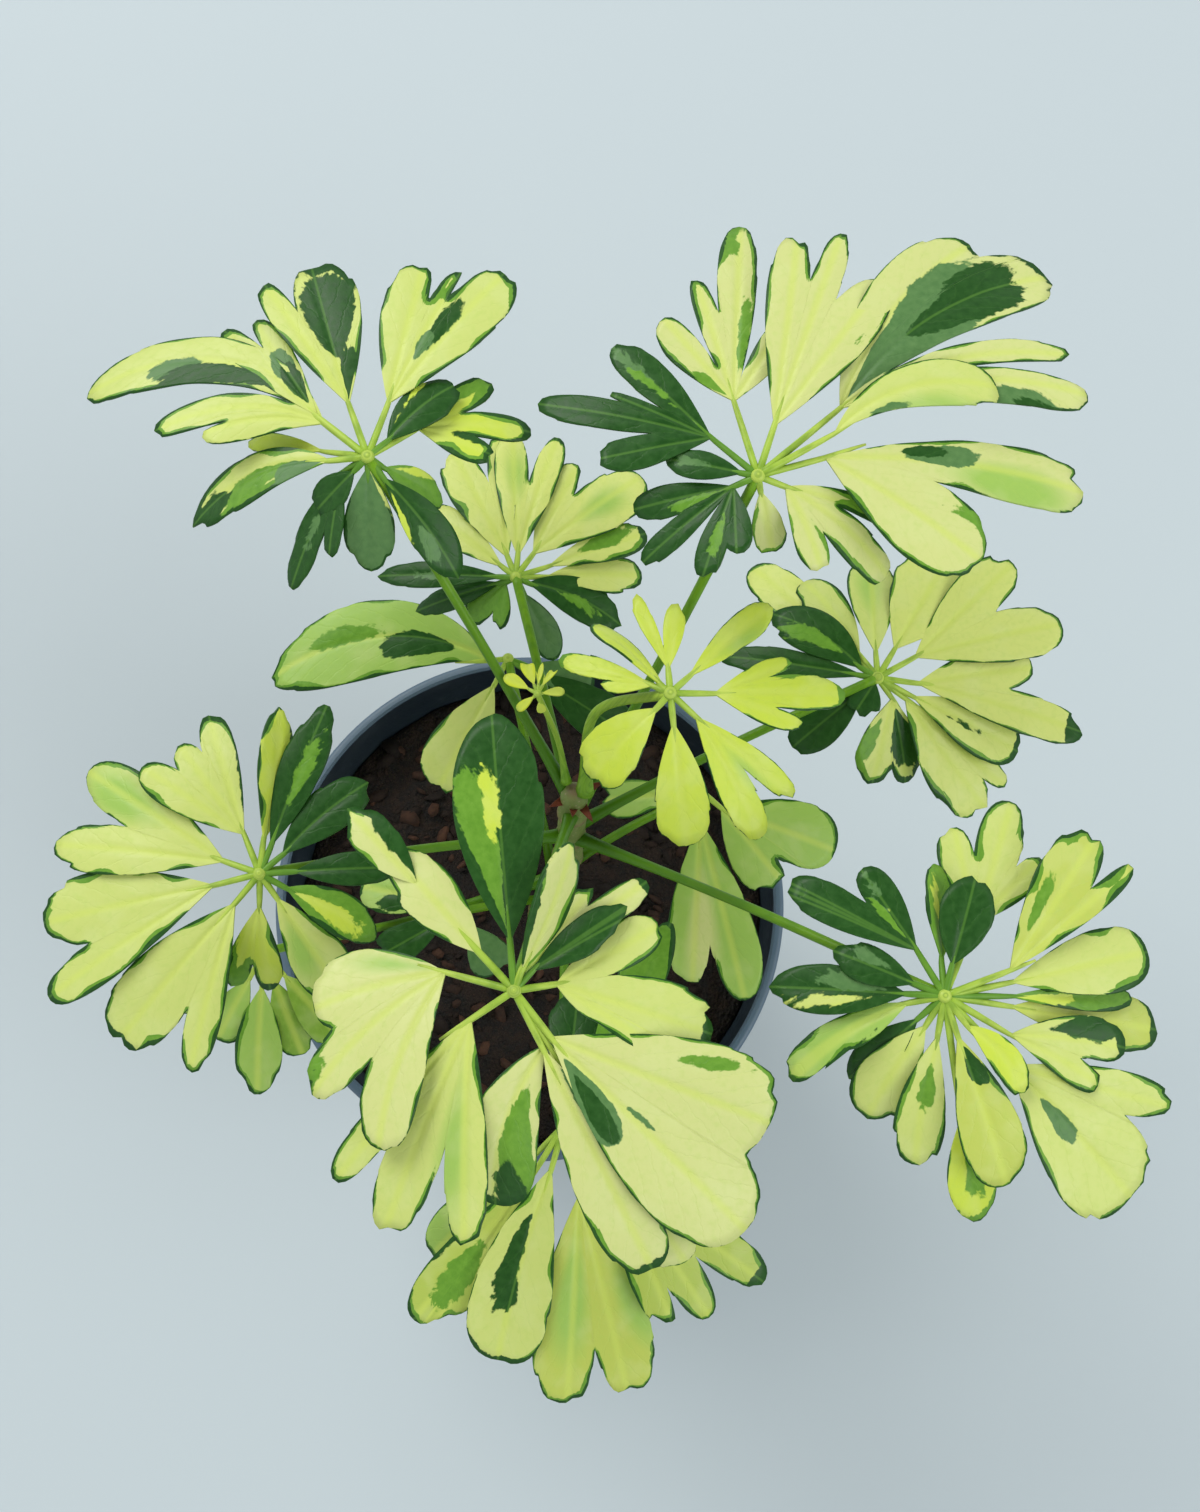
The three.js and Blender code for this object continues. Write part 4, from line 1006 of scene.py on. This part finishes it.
def paint_blade(main, margin, patches, lobes, angles, r, edge, seed):
    """The ground colour at each spot, and how far inside each darker area it lies, in mm."""
    areas = {name: np.full(r.shape, -FAR) for name in LAYERS}
    ground_name = main if main in GROUNDS else "lime"
    ground = np.zeros((*r.shape, 3)) + GROUNDS[ground_name]
    if main in areas:
        areas[main][:] = FAR

    x, y = r * np.cos(angles), r * np.sin(angles)
    if margin:
        ragged = MARGIN_LEAST + MARGIN_VARIES * noise_at(x, y, seed + 3.1, MARGIN_RAG_WIDTH)
        near_base = np.clip((MARGIN_START - r) / MARGIN_FADE, 0, 1) * FAR
        for name, share in MARGIN_SHARES:
            band = MARGIN_SHARPNESS * (share * margin * np.maximum(ragged, 0) - edge)
            areas[name] = np.maximum(areas[name], np.clip(band - near_base, -FAR, FAR))

    for tone, which, middle, half_length, aside, half_width in patches:
        lobe = lobes[which]
        along, across = on_lobe(angles, r, lobe)
        out = np.hypot((along - middle) / half_length, (across - aside) / half_width)
        inside = (1 - out) * min(half_length * lobe[1], half_width * lobe[2])
        inside = np.clip(inside, -FAR, FAR)
        covered = LAYERS[LAYERS.index(tone) + 1 :] if tone in LAYERS else LAYERS
        if tone in LAYERS:
            hidden = np.max([areas[name] for name in covered] + [np.full(r.shape, -FAR)], axis=0) > 0
            areas[tone] = np.maximum(areas[tone], inside + UNDERLAP * hidden)
        for name in covered:
            areas[name] = np.minimum(areas[name], -inside)
        if tone in GROUNDS:
            share = np.clip(inside / 2 + 0.5, 0, 1)[..., None]
            ground = ground * (1 - share) + np.array(GROUNDS[tone]) * share
    return ground, areas


def leaflet_frame(turn, dip, roll):
    """Unit vectors along a leaflet, across it and out of its upper face."""
    turn, dip, roll = (math.radians(angle) for angle in (turn, dip, roll))
    along = Vector((math.cos(turn) * math.cos(dip), math.sin(turn) * math.cos(dip), -math.sin(dip)))
    level = Vector((-math.sin(turn), math.cos(turn), 0))
    across = Matrix.Rotation(roll, 3, along) @ level
    return along, across, along.cross(across)


def sight_lines():
    """The photograph's directions: into it, to its right and up it."""
    down = math.radians(VIEW_DOWN)
    forward = np.array((0, math.cos(down), -math.sin(down)))
    rightward = np.array((1.0, 0, 0))
    return forward, rightward, np.cross(rightward, forward)


def sight_line(pixel):
    forward, rightward, upward = sight_lines()
    across = (pixel[0] - VIEW_MIDDLE[0]) / FOCAL_LENGTH
    up = (VIEW_MIDDLE[1] - pixel[1]) / FOCAL_LENGTH
    return forward + rightward * across + upward * up


def spot_at_height(pixel, height):
    line = sight_line(pixel)
    return VIEWPOINT + line * (height - VIEWPOINT[2]) / line[2]


def spot_on_plane(pixel, origin, normal):
    line = sight_line(pixel)
    return VIEWPOINT + line * ((origin - VIEWPOINT) @ normal) / (line @ normal)


def bearing(start, end):
    return math.degrees(math.atan2(end[1] - start[1], end[0] - start[0])) % 360


def depth_of(place):
    return (place - VIEWPOINT) @ sight_lines()[0]


def measure_lobes(reading, hub, axes, stalk):
    """Each lobe: turn aside in degrees, reach and half width in mm, and where it is widest."""
    along, across, out = axes
    places = [spot_on_plane(seen, hub, out) - along * stalk for seen in reading["tips"]]
    steps = [((place - hub) @ along, (place - hub) @ across) for place in places]
    longest = max(math.hypot(*step) for step in steps)
    lobes = []
    for seen, place, step in zip(reading["tips"], places, steps):
        reach = math.hypot(*step)
        bend = reading["sweep"] * reach / longest
        aside = math.degrees(math.atan2(step[1], step[0])) - bend
        half = seen[2] / 2 * depth_of(place) / FOCAL_LENGTH
        lobes.append((round(aside), round(reach), round(half, 1), *seen[3:]))
    return lobes


def measure_leaflet(reading, hub):
    """The reading's turn, dip, roll, stalk, sweep and lobes, in degrees and millimetres."""
    drop, roll, sweep = reading["drop"], reading["roll"], reading["sweep"]
    first_tip = spot_at_height(reading["tips"][0], hub[2] - drop)
    base = spot_at_height(reading["base"], hub[2] - BASE_SHARE * drop)
    straight = len(reading["tips"]) == 1 and abs(sweep) < STRAIGHT
    turn = bearing(hub, first_tip if straight else base)
    away = (first_tip - hub)[:2]
    heading = np.array((math.cos(math.radians(turn)), math.sin(math.radians(turn))))
    run = max(away @ heading, LEAST_RUN * math.hypot(*away))
    turn, dip = round(turn), round(math.degrees(math.atan2(drop, run)))
    axes = [np.array(axis) for axis in leaflet_frame(turn, dip, roll)]
    stalk = max(1, round((spot_on_plane(reading["base"], hub, axes[2]) - hub) @ axes[0]))
    return turn, dip, roll, stalk, sweep, measure_lobes(reading, hub, axes, stalk)


def measure_patch(note, hub, measured):
    """The note's patch as colour, lobe, and its middle and half sizes in shares of the lobe."""
    turn, dip, roll, stalk, sweep, lobes = measured
    if "shares" in note:
        return note["tone"], note["lobe"], *note["shares"]
    along, across, out = [np.array(axis) for axis in leaflet_frame(turn, dip, roll)]
    lobe = lobes[note["lobe"]]
    place = spot_on_plane(note["pixel"], hub, out)
    x, y = (place - hub) @ along - stalk, (place - hub) @ across
    r = math.hypot(x, y)
    longest = max(lobe[1] for lobe in lobes)
    angle = math.atan2(y, x) - math.radians(sweep) * r / longest
    middle, aside = on_lobe(angle, r, lobe)
    pixel = depth_of(place) / FOCAL_LENGTH
    half_length = note["half"][0] * pixel / lobe[1]
    half_width = note["half"][1] * pixel / (middle * lobe[1] * lobe_shape(lobe)[0])
    return note["tone"], note["lobe"], middle, half_length, aside, half_width


def leaflet_from(reading, hub):
    measured = measure_leaflet(reading, hub)
    patches = [measure_patch(note, hub, measured) for note in reading["patches"]]
    return *measured, reading["cuts"], reading["main"], reading["margin"], patches


def blade_height(angles, r, lobes, count):
    """The blade's arch and cup, with a groove along each lobe and a little unevenness."""
    longest = max(lobes, key=lambda lobe: lobe[1])
    length = longest[1]
    off = angles - math.radians(longest[0])
    share = np.maximum(0, r * np.cos(off)) / length
    cup = CUP + CUP_VARIES * (varied(count) - 0.5)
    height = ARCH * length * 4 * share * (1 - share) + cup * r * np.abs(np.sin(off))

    weights, relief = 0, 0
    for lobe in lobes:
        along, across = on_lobe(angles, r, lobe)
        side = r * np.sin(angles - math.radians(lobe[0]))
        weight = np.exp(-3 * across**2)
        fade = np.clip((1 - along) * 3, 0, 1) * np.clip(r / 4, 0, 1)
        groove = RIB_DEPTH * np.exp(-((side / RIB_WIDTH) ** 2)) * fade
        droop = CAMBER * lobe[2] * np.minimum((side / lobe[2]) ** 2, 2)
        turn = np.sin(WAVE_TURN * r + 6 * varied(count) + lobe[0])
        ripple = WAVE * np.minimum(across**2, 1) * turn * along
        relief = relief + weight * (ripple - groove - droop)
        weights = weights + weight
    x, y = r * np.cos(angles), r * np.sin(angles)
    uneven = UNEVENNESS * noise_at(x, y, count, UNEVEN_WIDTH) * share
    return height + relief / np.maximum(weights, 1e-6) + uneven


def add_blade(bm, layers, hub, measured, count, tooth_depth):
    """One leaflet's blade: a mapped grid fanned out from its base, given its thickness."""
    turn, dip, roll, stalk, sweep, lobes, cuts, main, margin, patches = measured
    column, way = column_angles(lobes, cuts)
    length = max(lobe[1] for lobe in lobes)
    rings = max(FEWEST_RINGS, round(length / RING_SPACING))
    reach = blade_reach(column, lobes, cuts)
    nibble = np.array([noise.noise(Vector((w / TOOTH_SPACING, 0.5, count * 1.7))) for w in way])
    near_tip = np.clip(reach / length * TOOTHED_END - 1, 0, 1)
    reach = reach * EDGE_INSET - tooth_depth * np.maximum(0, nibble - TOOTH_START) * near_tip
    reach = np.maximum(reach, SHORTEST_REACH)

    inner = np.linspace(INNERMOST, 1, rings + 1)
    angles = np.repeat(column[:, None], rings + 1, axis=1)
    r = reach[:, None] * inner[None, :]
    swept = angles + math.radians(sweep) * r / length
    height = blade_height(angles, r, lobes, count)
    along, across, out = (np.array(v) for v in leaflet_frame(turn, dip, roll))
    spots = (
        np.array(hub)
        + (stalk + r * np.cos(swept))[..., None] * along
        + (r * np.sin(swept))[..., None] * across
        + (height - BLADE / 2)[..., None] * out
    )
    order = mapped_grid(bm, len(column) - 1, rings, spots)

    flat = np.stack([r * np.cos(angles), r * np.sin(angles)], axis=-1)
    edge = edge_distance(flat, flat[:, -1])
    ground, areas = paint_blade(main, margin, patches, lobes, angles, r, edge, count * 1.37)
    places = np.array([on_lobe(angles, r, lobe)[1] for lobe in lobes])
    nearest = np.abs(places).argmin(axis=0)
    asides = np.radians([lobe[0] for lobe in lobes])[nearest]
    run, aside = r * np.cos(angles - asides), r * np.sin(angles - asides)
    for (i, j), vert in order.items():
        vert[layers["run"]] = run[i, j]
        vert[layers["aside"]] = aside[i, j]
        vert[layers["seed"]] = count * SEED_STEP
        vert[layers["ground"]] = (*ground[i, j], 1.0)
        for name, values in areas.items():
            vert[layers[name]] = values[i, j]

    lower = faces_of(order.values())
    thicken(bm, lower, Vector(out) * (BLADE * MM))
    for face in lower:
        face.material_index = LOWER_FACE


def tint_tube(layers, verts, start, end, count, colours):
    """Colours a tube from one end to the other."""
    start, end = Vector(start) * MM, Vector(end) * MM
    way = end - start
    first, last = (Vector(colour) for colour in colours)
    for vert in verts:
        share = min(max((vert.co - start).dot(way) / way.length_squared, 0), 1)
        vert[layers["ground"]] = (*first.lerp(last, share), 1.0)
        vert[layers["run"]] = share * way.length / MM
        vert[layers["aside"]] = (vert.co - start).cross(way.normalized()).length / MM
        vert[layers["seed"]] = count * SEED_STEP
        for face in vert.link_faces:
            face.material_index = STALK


def add_stalk(bm, layers, hub, measured, size, count):
    """One leaflet's stalk, from the hub to a little way under its blade."""
    turn, dip, roll, stalk, _, lobes, _, main, _, _ = measured
    along, _, out = (np.array(axis) for axis in leaflet_frame(turn, dip, roll))
    length = max(lobe[1] for lobe in lobes)
    reach = stalk + STALK_UNDER_BLADE * length
    steps = np.linspace(0, 1, STALK_STEPS + 1)
    under = np.clip((steps * reach - stalk) / length, 0, 1)
    rise = [ARCH * length * 4 * s * (1 - s) for s in under]
    path = np.array(
        [hub + along * reach * t + out * (h - STALK_SINK * t) for t, h in zip(steps, rise)]
    )
    widths = [size * STALK_RADIUS * (STALK_SWELL - STALK_TAPER * t**3) for t in steps]
    verts = add_tube(bm, path, widths, STALK_SIDES, STALK_FLATNESS)
    greens = PALE_STALK_GREENS if main in GROUNDS else DARK_STALK_GREENS
    tint_tube(layers, verts, path[0], path[-1], count, greens)


def make_leaf(leaf, stem_path, first_count, materials):
    bm = bmesh.new()
    layers = {name: bm.verts.layers.float.new(name) for name in ("run", "aside", "seed", *LAYERS)}
    layers["ground"] = bm.verts.layers.float_color.new("ground")
    size = leaf.get("size", 1)
    seen_hub = spot_at_height(leaf["hub"], leaf["height"])
    hub = np.round(seen_hub)
    young = leaf["name"] in ("leaf_young", "leaf_bud")

    joint = stem_path[round(leaf["joint"] * (len(stem_path) - 1))]
    start = np.array(leaf.get("start", joint), float)
    middle = (start + hub) / 2 + np.array((0, 0, leaf.get("rise", PETIOLE_RISE)))
    path = curve_points([start, leaf.get("via", middle), hub], PETIOLE_STEPS)
    shares = np.linspace(0, 1, PETIOLE_STEPS + 1)
    radii = [size * (PETIOLE_RADIUS + PETIOLE_SHEATH * (1 - t) ** SHEATH_SHORTNESS) for t in shares]
    petiole = add_tube(bm, path, radii, PETIOLE_SIDES)
    greens = YOUNG_PETIOLE_GREENS if young else PETIOLE_GREENS
    tint_tube(layers, petiole, start, hub, first_count, greens)

    knot = bmesh.ops.create_icosphere(bm, subdivisions=3, radius=HUB_RADIUS * size * MM)["verts"]
    bmesh.ops.scale(bm, verts=knot, vec=(1, 1, HUB_FLATNESS))
    bmesh.ops.translate(bm, verts=knot, vec=Vector(hub) * MM)
    below, above = hub - (0, 0, HUB_TINT_REACH), hub + (0, 0, HUB_TINT_REACH)
    tint_tube(layers, knot, below, above, first_count, PALE_STALK_GREENS)

    for count, reading in enumerate(leaf["leaflets"], first_count):
        measured = leaflet_from(reading, seen_hub)
        add_stalk(bm, layers, hub, measured, size, count)
        add_blade(bm, layers, hub, measured, count, YOUNG_TOOTH_DEPTH if young else TOOTH_DEPTH)
    return finish_piece(bm, "fine_" + leaf["name"], leaf["name"], materials)


# Stem


def make_stem(stem_path, materials):
    bm = bmesh.new()
    scar = bm.verts.layers.float.new("scar")
    steps = len(stem_path) - 1
    shares = np.linspace(0, 1, steps + 1)
    swell = np.maximum(0, np.cos(2 * math.pi * SCAR_COUNT * shares)) ** SCAR_NARROWNESS
    radii = STEM_RADIUS + (STEM_TIP_RADIUS - STEM_RADIUS) * shares + SCAR_SWELL * swell
    radii[-len(STEM_TIP_TAPER) :] *= STEM_TIP_TAPER
    verts = add_tube(bm, stem_path, radii, STEM_SIDES)
    for vert in verts:
        nearest = np.linalg.norm(stem_path - np.array(vert.co) / MM, axis=1).argmin()
        vert[scar] = SCAR_TINT * swell[nearest]
        bump = noise.noise(vert.co / (BARK_BUMP_WIDTH * MM))
        vert.co += Vector((1, 0, 0)) * bump * BARK_BUMP * MM

    growing_tip = Vector(stem_path[-1])
    for turn, lean, length in BUD_SCALES:
        side = Vector((math.cos(math.radians(turn)), math.sin(math.radians(turn)), 0))
        across = Vector((0, 0, 1)).cross(side)
        rise = side * math.sin(math.radians(lean)) + Vector((0, 0, 1)) * math.cos(math.radians(lean))
        foot = growing_tip - Vector((0, 0, SCALE_FOOT)) + side * SCALE_OUT
        spots = np.zeros((SCALE_COLUMNS + 1, SCALE_ROWS + 1, 3))
        for i in range(SCALE_COLUMNS + 1):
            for j in range(SCALE_ROWS + 1):
                t, s = j / SCALE_ROWS, i / SCALE_COLUMNS * 2 - 1
                width = SCALE_HALF_WIDTH * (1 - t) ** SCALE_TAPER
                curl = side * (SCALE_CURL * t * t - SCALE_CUP * s * s)
                spots[i, j] = foot + rise * length * t + across * (s * width) + curl
        sheet = faces_of(mapped_grid(bm, SCALE_COLUMNS, SCALE_ROWS, spots).values())
        bmesh.ops.recalc_face_normals(bm, faces=sheet)
        for face in thicken(bm, sheet, side * (SCALE_THICKNESS * MM)):
            face.material_index = SCALE
    return finish_piece(bm, "fine_stem", "stem", materials)


# Soil


def pot_radius(z):
    lip_start = POT_HEIGHT - LIP_HEIGHT
    return FOOT_RADIUS + (RIM_RADIUS - LIP_OUT - FOOT_RADIUS) * min(z, lip_start) / lip_start


def soil_height(x, y, rim):
    """The soil's surface: the CAD model's lumps, with clods and crumbs added."""
    broad = 0.5 * math.sin(0.31 * x + 0.6) * math.cos(0.27 * y - 0.4)
    broad += 0.5 * math.sin(0.17 * x - 0.23 * y)
    clods = noise.fractal(Vector((x / CLOD_WIDTH, y / CLOD_WIDTH, 2.5)), 0.8, 2.1, 4)
    return SOIL_LEVEL - EDGE_DROP * rim**4 + LUMP * broad + CLOD * clods


def make_soil(materials):
    bm = bmesh.new()
    tone = bm.verts.layers.float.new("tone")
    bottom = FOOT_RISE + FLOOR + SOIL_GAP
    top_radius = pot_radius(SOIL_LEVEL) - WALL - SOIL_GAP
    rows = [(SOIL_MIDDLE, bottom), (pot_radius(bottom) - WALL - SOIL_FOOT_GAP, bottom)]
    rows += [(pot_radius(z) - WALL - SOIL_WALL_GAP, z) for z in SOIL_SIDE_LEVELS]
    rows += [(top_radius * (1 - k / SOIL_RINGS) + SOIL_MIDDLE, None) for k in range(SOIL_RINGS + 1)]
    spots = np.zeros((SOIL_STEPS + 1, len(rows), 3))
    for i in range(SOIL_STEPS + 1):
        angle = 2 * math.pi * (i % SOIL_STEPS) / SOIL_STEPS
        for j, (radius, z) in enumerate(rows):
            x, y = radius * math.cos(angle), radius * math.sin(angle)
            spots[i, j] = x, y, soil_height(x, y, radius / top_radius) if z is None else z
    order = mapped_grid(bm, SOIL_STEPS, len(rows) - 1, spots)
    bmesh.ops.remove_doubles(bm, verts=list(order.values()), dist=WELD * MM)
    rims = [e for e in bm.edges if e.is_boundary]
    bmesh.ops.holes_fill(bm, edges=rims, sides=0)
    bmesh.ops.recalc_face_normals(bm, faces=bm.faces)

    rng = random.Random(CHIP_SEED)
    for _ in range(CHIP_COUNT):
        angle = rng.uniform(0, 2 * math.pi)
        share = math.sqrt(rng.random()) * CHIPS_REACH
        x, y = top_radius * share * math.cos(angle), top_radius * share * math.sin(angle)
        length = rng.uniform(*CHIP_LENGTHS)
        width = length * rng.uniform(*CHIP_WIDTHS)
        thickness = length * rng.uniform(*CHIP_THICKNESSES)
        chip = bmesh.ops.create_icosphere(bm, subdivisions=1, radius=1.0)["verts"]
        bmesh.ops.scale(bm, verts=chip, vec=Vector((length, width, thickness)) * MM)
        for vert in chip:
            shift = Vector([rng.uniform(-1, 1) for _ in range(3)])
            vert.co += shift * length * CHIP_JITTER * MM
        turn = Matrix.Rotation(rng.uniform(0, 6.3), 3, "Z")
        tilt = Matrix.Rotation(rng.uniform(-CHIP_TILT, CHIP_TILT), 3, "X")
        bmesh.ops.rotate(bm, verts=chip, matrix=turn @ tilt)
        height = soil_height(x, y, share) + CHIP_RISE
        bmesh.ops.translate(bm, verts=chip, vec=Vector((x, y, height)) * MM)
        shade = rng.random() ** 2
        for vert in chip:
            vert[tone] = shade
            for face in vert.link_faces:
                face.material_index = CHIP
    return finish_piece(bm, "fine_soil", "soil", materials)


# Pot


def make_pot(materials):
    bm = bmesh.new()
    lip_start = POT_HEIGHT - LIP_HEIGHT
    inner = FOOT_RADIUS - FOOT_RING
    lip_inner = RIM_RADIUS - LIP_OUT
    lip_round = [
        (
            RIM_RADIUS - LIP_ROUNDING + LIP_ROUNDING * math.cos(turn),
            POT_HEIGHT - LIP_ROUNDING + LIP_ROUNDING * math.sin(turn),
        )
        for turn in np.radians(LIP_ROUND_TURNS)
    ]
    floor_top = FOOT_RISE + FLOOR
    profile = [
        (0, 0),
        (FOOT_PAD, 0),
        (FOOT_PAD + ROUNDING, FOOT_RISE),
        (inner, FOOT_RISE),
        (inner + ROUNDING, 0),
        (FOOT_RADIUS - ROUNDING, 0),
        (FOOT_RADIUS - FOOT_EDGE_IN, FOOT_EDGE_UP),
        (FOOT_RADIUS, ROUNDING),
        *((pot_radius(z), z) for z in (*WALL_LEVELS, lip_start - CORNER)),
        (pot_radius(lip_start) + LIP_FILLET, lip_start),
        (RIM_RADIUS - CORNER, lip_start),
        (RIM_RADIUS, lip_start + CORNER),
        *lip_round,
        (lip_inner + LIP_INNER_CORNER, POT_HEIGHT),
        (lip_inner, POT_HEIGHT - LIP_INNER_CORNER),
        (lip_inner - LIP_INNER_TAPER, lip_start + LIP_INNER_FOOT),
        (pot_radius(lip_start) - WALL, lip_start - LIP_OUT),
        (pot_radius(WALL_LEVELS[1]) - WALL, WALL_LEVELS[1]),
        (FOOT_RADIUS - WALL, floor_top + ROUNDING),
        (FOOT_RADIUS - WALL - ROUNDING, floor_top),
        (0, floor_top),
    ]
    verts = [bm.verts.new((r * MM, 0, z * MM)) for r, z in profile]
    edges = [bm.edges.new(pair) for pair in zip(verts, verts[1:])]
    bmesh.ops.spin(
        bm, geom=verts + edges, axis=(0, 0, 1), cent=(0, 0, 0), steps=POT_STEPS,
        angle=2 * math.pi, use_merge=True,
    )
    bmesh.ops.remove_doubles(bm, verts=bm.verts, dist=WELD * MM)
    bmesh.ops.recalc_face_normals(bm, faces=bm.faces)
    pot = finish_piece(bm, "fine_pot", "pot", materials)
    cut_drains(pot)
    return pot


def cut_drains(pot):
    """Cuts the drain holes, then marks the sharp edges so that the faces beside them look flat."""
    cutters = bmesh.new()
    radius = DRAIN_RADIUS * MM
    for i in range(DRAIN_COUNT):
        angle = 2 * math.pi * i / DRAIN_COUNT
        hole = bmesh.ops.create_cone(
            cutters, cap_ends=True, segments=DRAIN_SIDES, radius1=radius, radius2=radius, depth=0.02,
        )["verts"]
        way = Vector((math.cos(angle), math.sin(angle), 0.1))
        bmesh.ops.translate(cutters, verts=hole, vec=way * (DRAIN_CIRCLE * MM))
    cutter = object_from(cutters, "drains")
    cut = pot.modifiers.new("drains", "BOOLEAN")
    cut.operation = "DIFFERENCE"
    cut.object = cutter
    depsgraph = bpy.context.evaluated_depsgraph_get()
    holed = bpy.data.meshes.new_from_object(pot.evaluated_get(depsgraph))
    pot.modifiers.clear()
    pot.data = holed
    bpy.data.objects.remove(cutter)
    shaded = bmesh.new()
    shaded.from_mesh(holed)
    for edge in shaded.edges:
        edge.smooth = edge.calc_face_angle(0) < math.radians(SHARPEST_SMOOTH)
    shaded.to_mesh(holed)
    shaded.free()


# The whole plant

stem_path = curve_points(STEM_POINTS, STEM_STEPS)
leaf_faces = [leaf_finish("leaf_upper_face", False), leaf_finish("leaf_lower_face", True)]
leaf_materials = [*leaf_faces, stalk_finish()]
leaflet_count = 1
for leaf in LEAVES:
    make_leaf(leaf, stem_path, leaflet_count, leaf_materials)
    leaflet_count += len(leaf["leaflets"])
make_stem(stem_path, [bark_finish(), scale_finish()])
make_soil([soil_finish(), chip_finish()])
make_pot([plastic_finish()])


# Floor, light and camera

floor_finish = Finish("pale_floor")
floor_finish.colour(FLOOR_COLOUR)
floor_finish.roughness(FLOOR_ROUGHNESS)
floor_bm = bmesh.new()
bmesh.ops.create_grid(floor_bm, x_segments=1, y_segments=1, size=FLOOR_HALF)
floor = object_from(floor_bm, "floor", [floor_finish.material])


def add_light(name, place, size, watts, colour):
    light = bpy.data.lights.new(name, "AREA")
    light.shape = "DISK"
    light.size = size
    light.energy = watts
    light.color = colour
    lamp = bpy.data.objects.new(name, light)
    lamp.location = place
    lamp.rotation_euler = (Vector(LIGHT_AIM) - Vector(place)).to_track_quat("-Z", "Y").to_euler()
    bpy.context.scene.collection.objects.link(lamp)


add_light("window_light", place=(-0.9, 1.1, 1.6), size=1.3, watts=25, colour=(1.0, 0.99, 0.97))
add_light("fill_light", place=(1.3, -0.7, 1.3), size=1.4, watts=15, colour=(0.97, 0.99, 1.0))

# The room's own light is weaker from straight overhead
world = bpy.data.worlds.new("soft_room")
world.use_nodes = True
world_nodes, world_links = world.node_tree.nodes, world.node_tree.links
sky_way = world_nodes.new("ShaderNodeTexCoord").outputs["Generated"]
height = world_nodes.new("ShaderNodeSeparateXYZ")
world_links.new(sky_way, height.inputs[0])
overhead = world_nodes.new("ShaderNodeMapRange")
world_links.new(height.outputs["Z"], overhead.inputs["Value"])
for socket, value in ROOM_FADE:
    overhead.inputs[socket].default_value = value
world_links.new(overhead.outputs[0], world_nodes["Background"].inputs["Strength"])
world_nodes["Background"].inputs["Color"].default_value = ROOM_COLOUR
bpy.context.scene.world = world
bpy.context.scene.view_settings.view_transform = "Standard"

# The camera looks down from a little in front of the pot
camera_data = bpy.data.cameras.new("camera")
camera_data.sensor_fit = "VERTICAL"
camera_data.sensor_height = SENSOR_HEIGHT
camera_data.lens = SENSOR_HEIGHT * FOCAL_LENGTH / PHOTO_HEIGHT
camera = bpy.data.objects.new("camera", camera_data)
camera.location = VIEWPOINT * MM
camera.rotation_euler = (math.radians(90 - VIEW_DOWN), 0, 0)
bpy.context.scene.collection.objects.link(camera)
bpy.context.scene.camera = camera
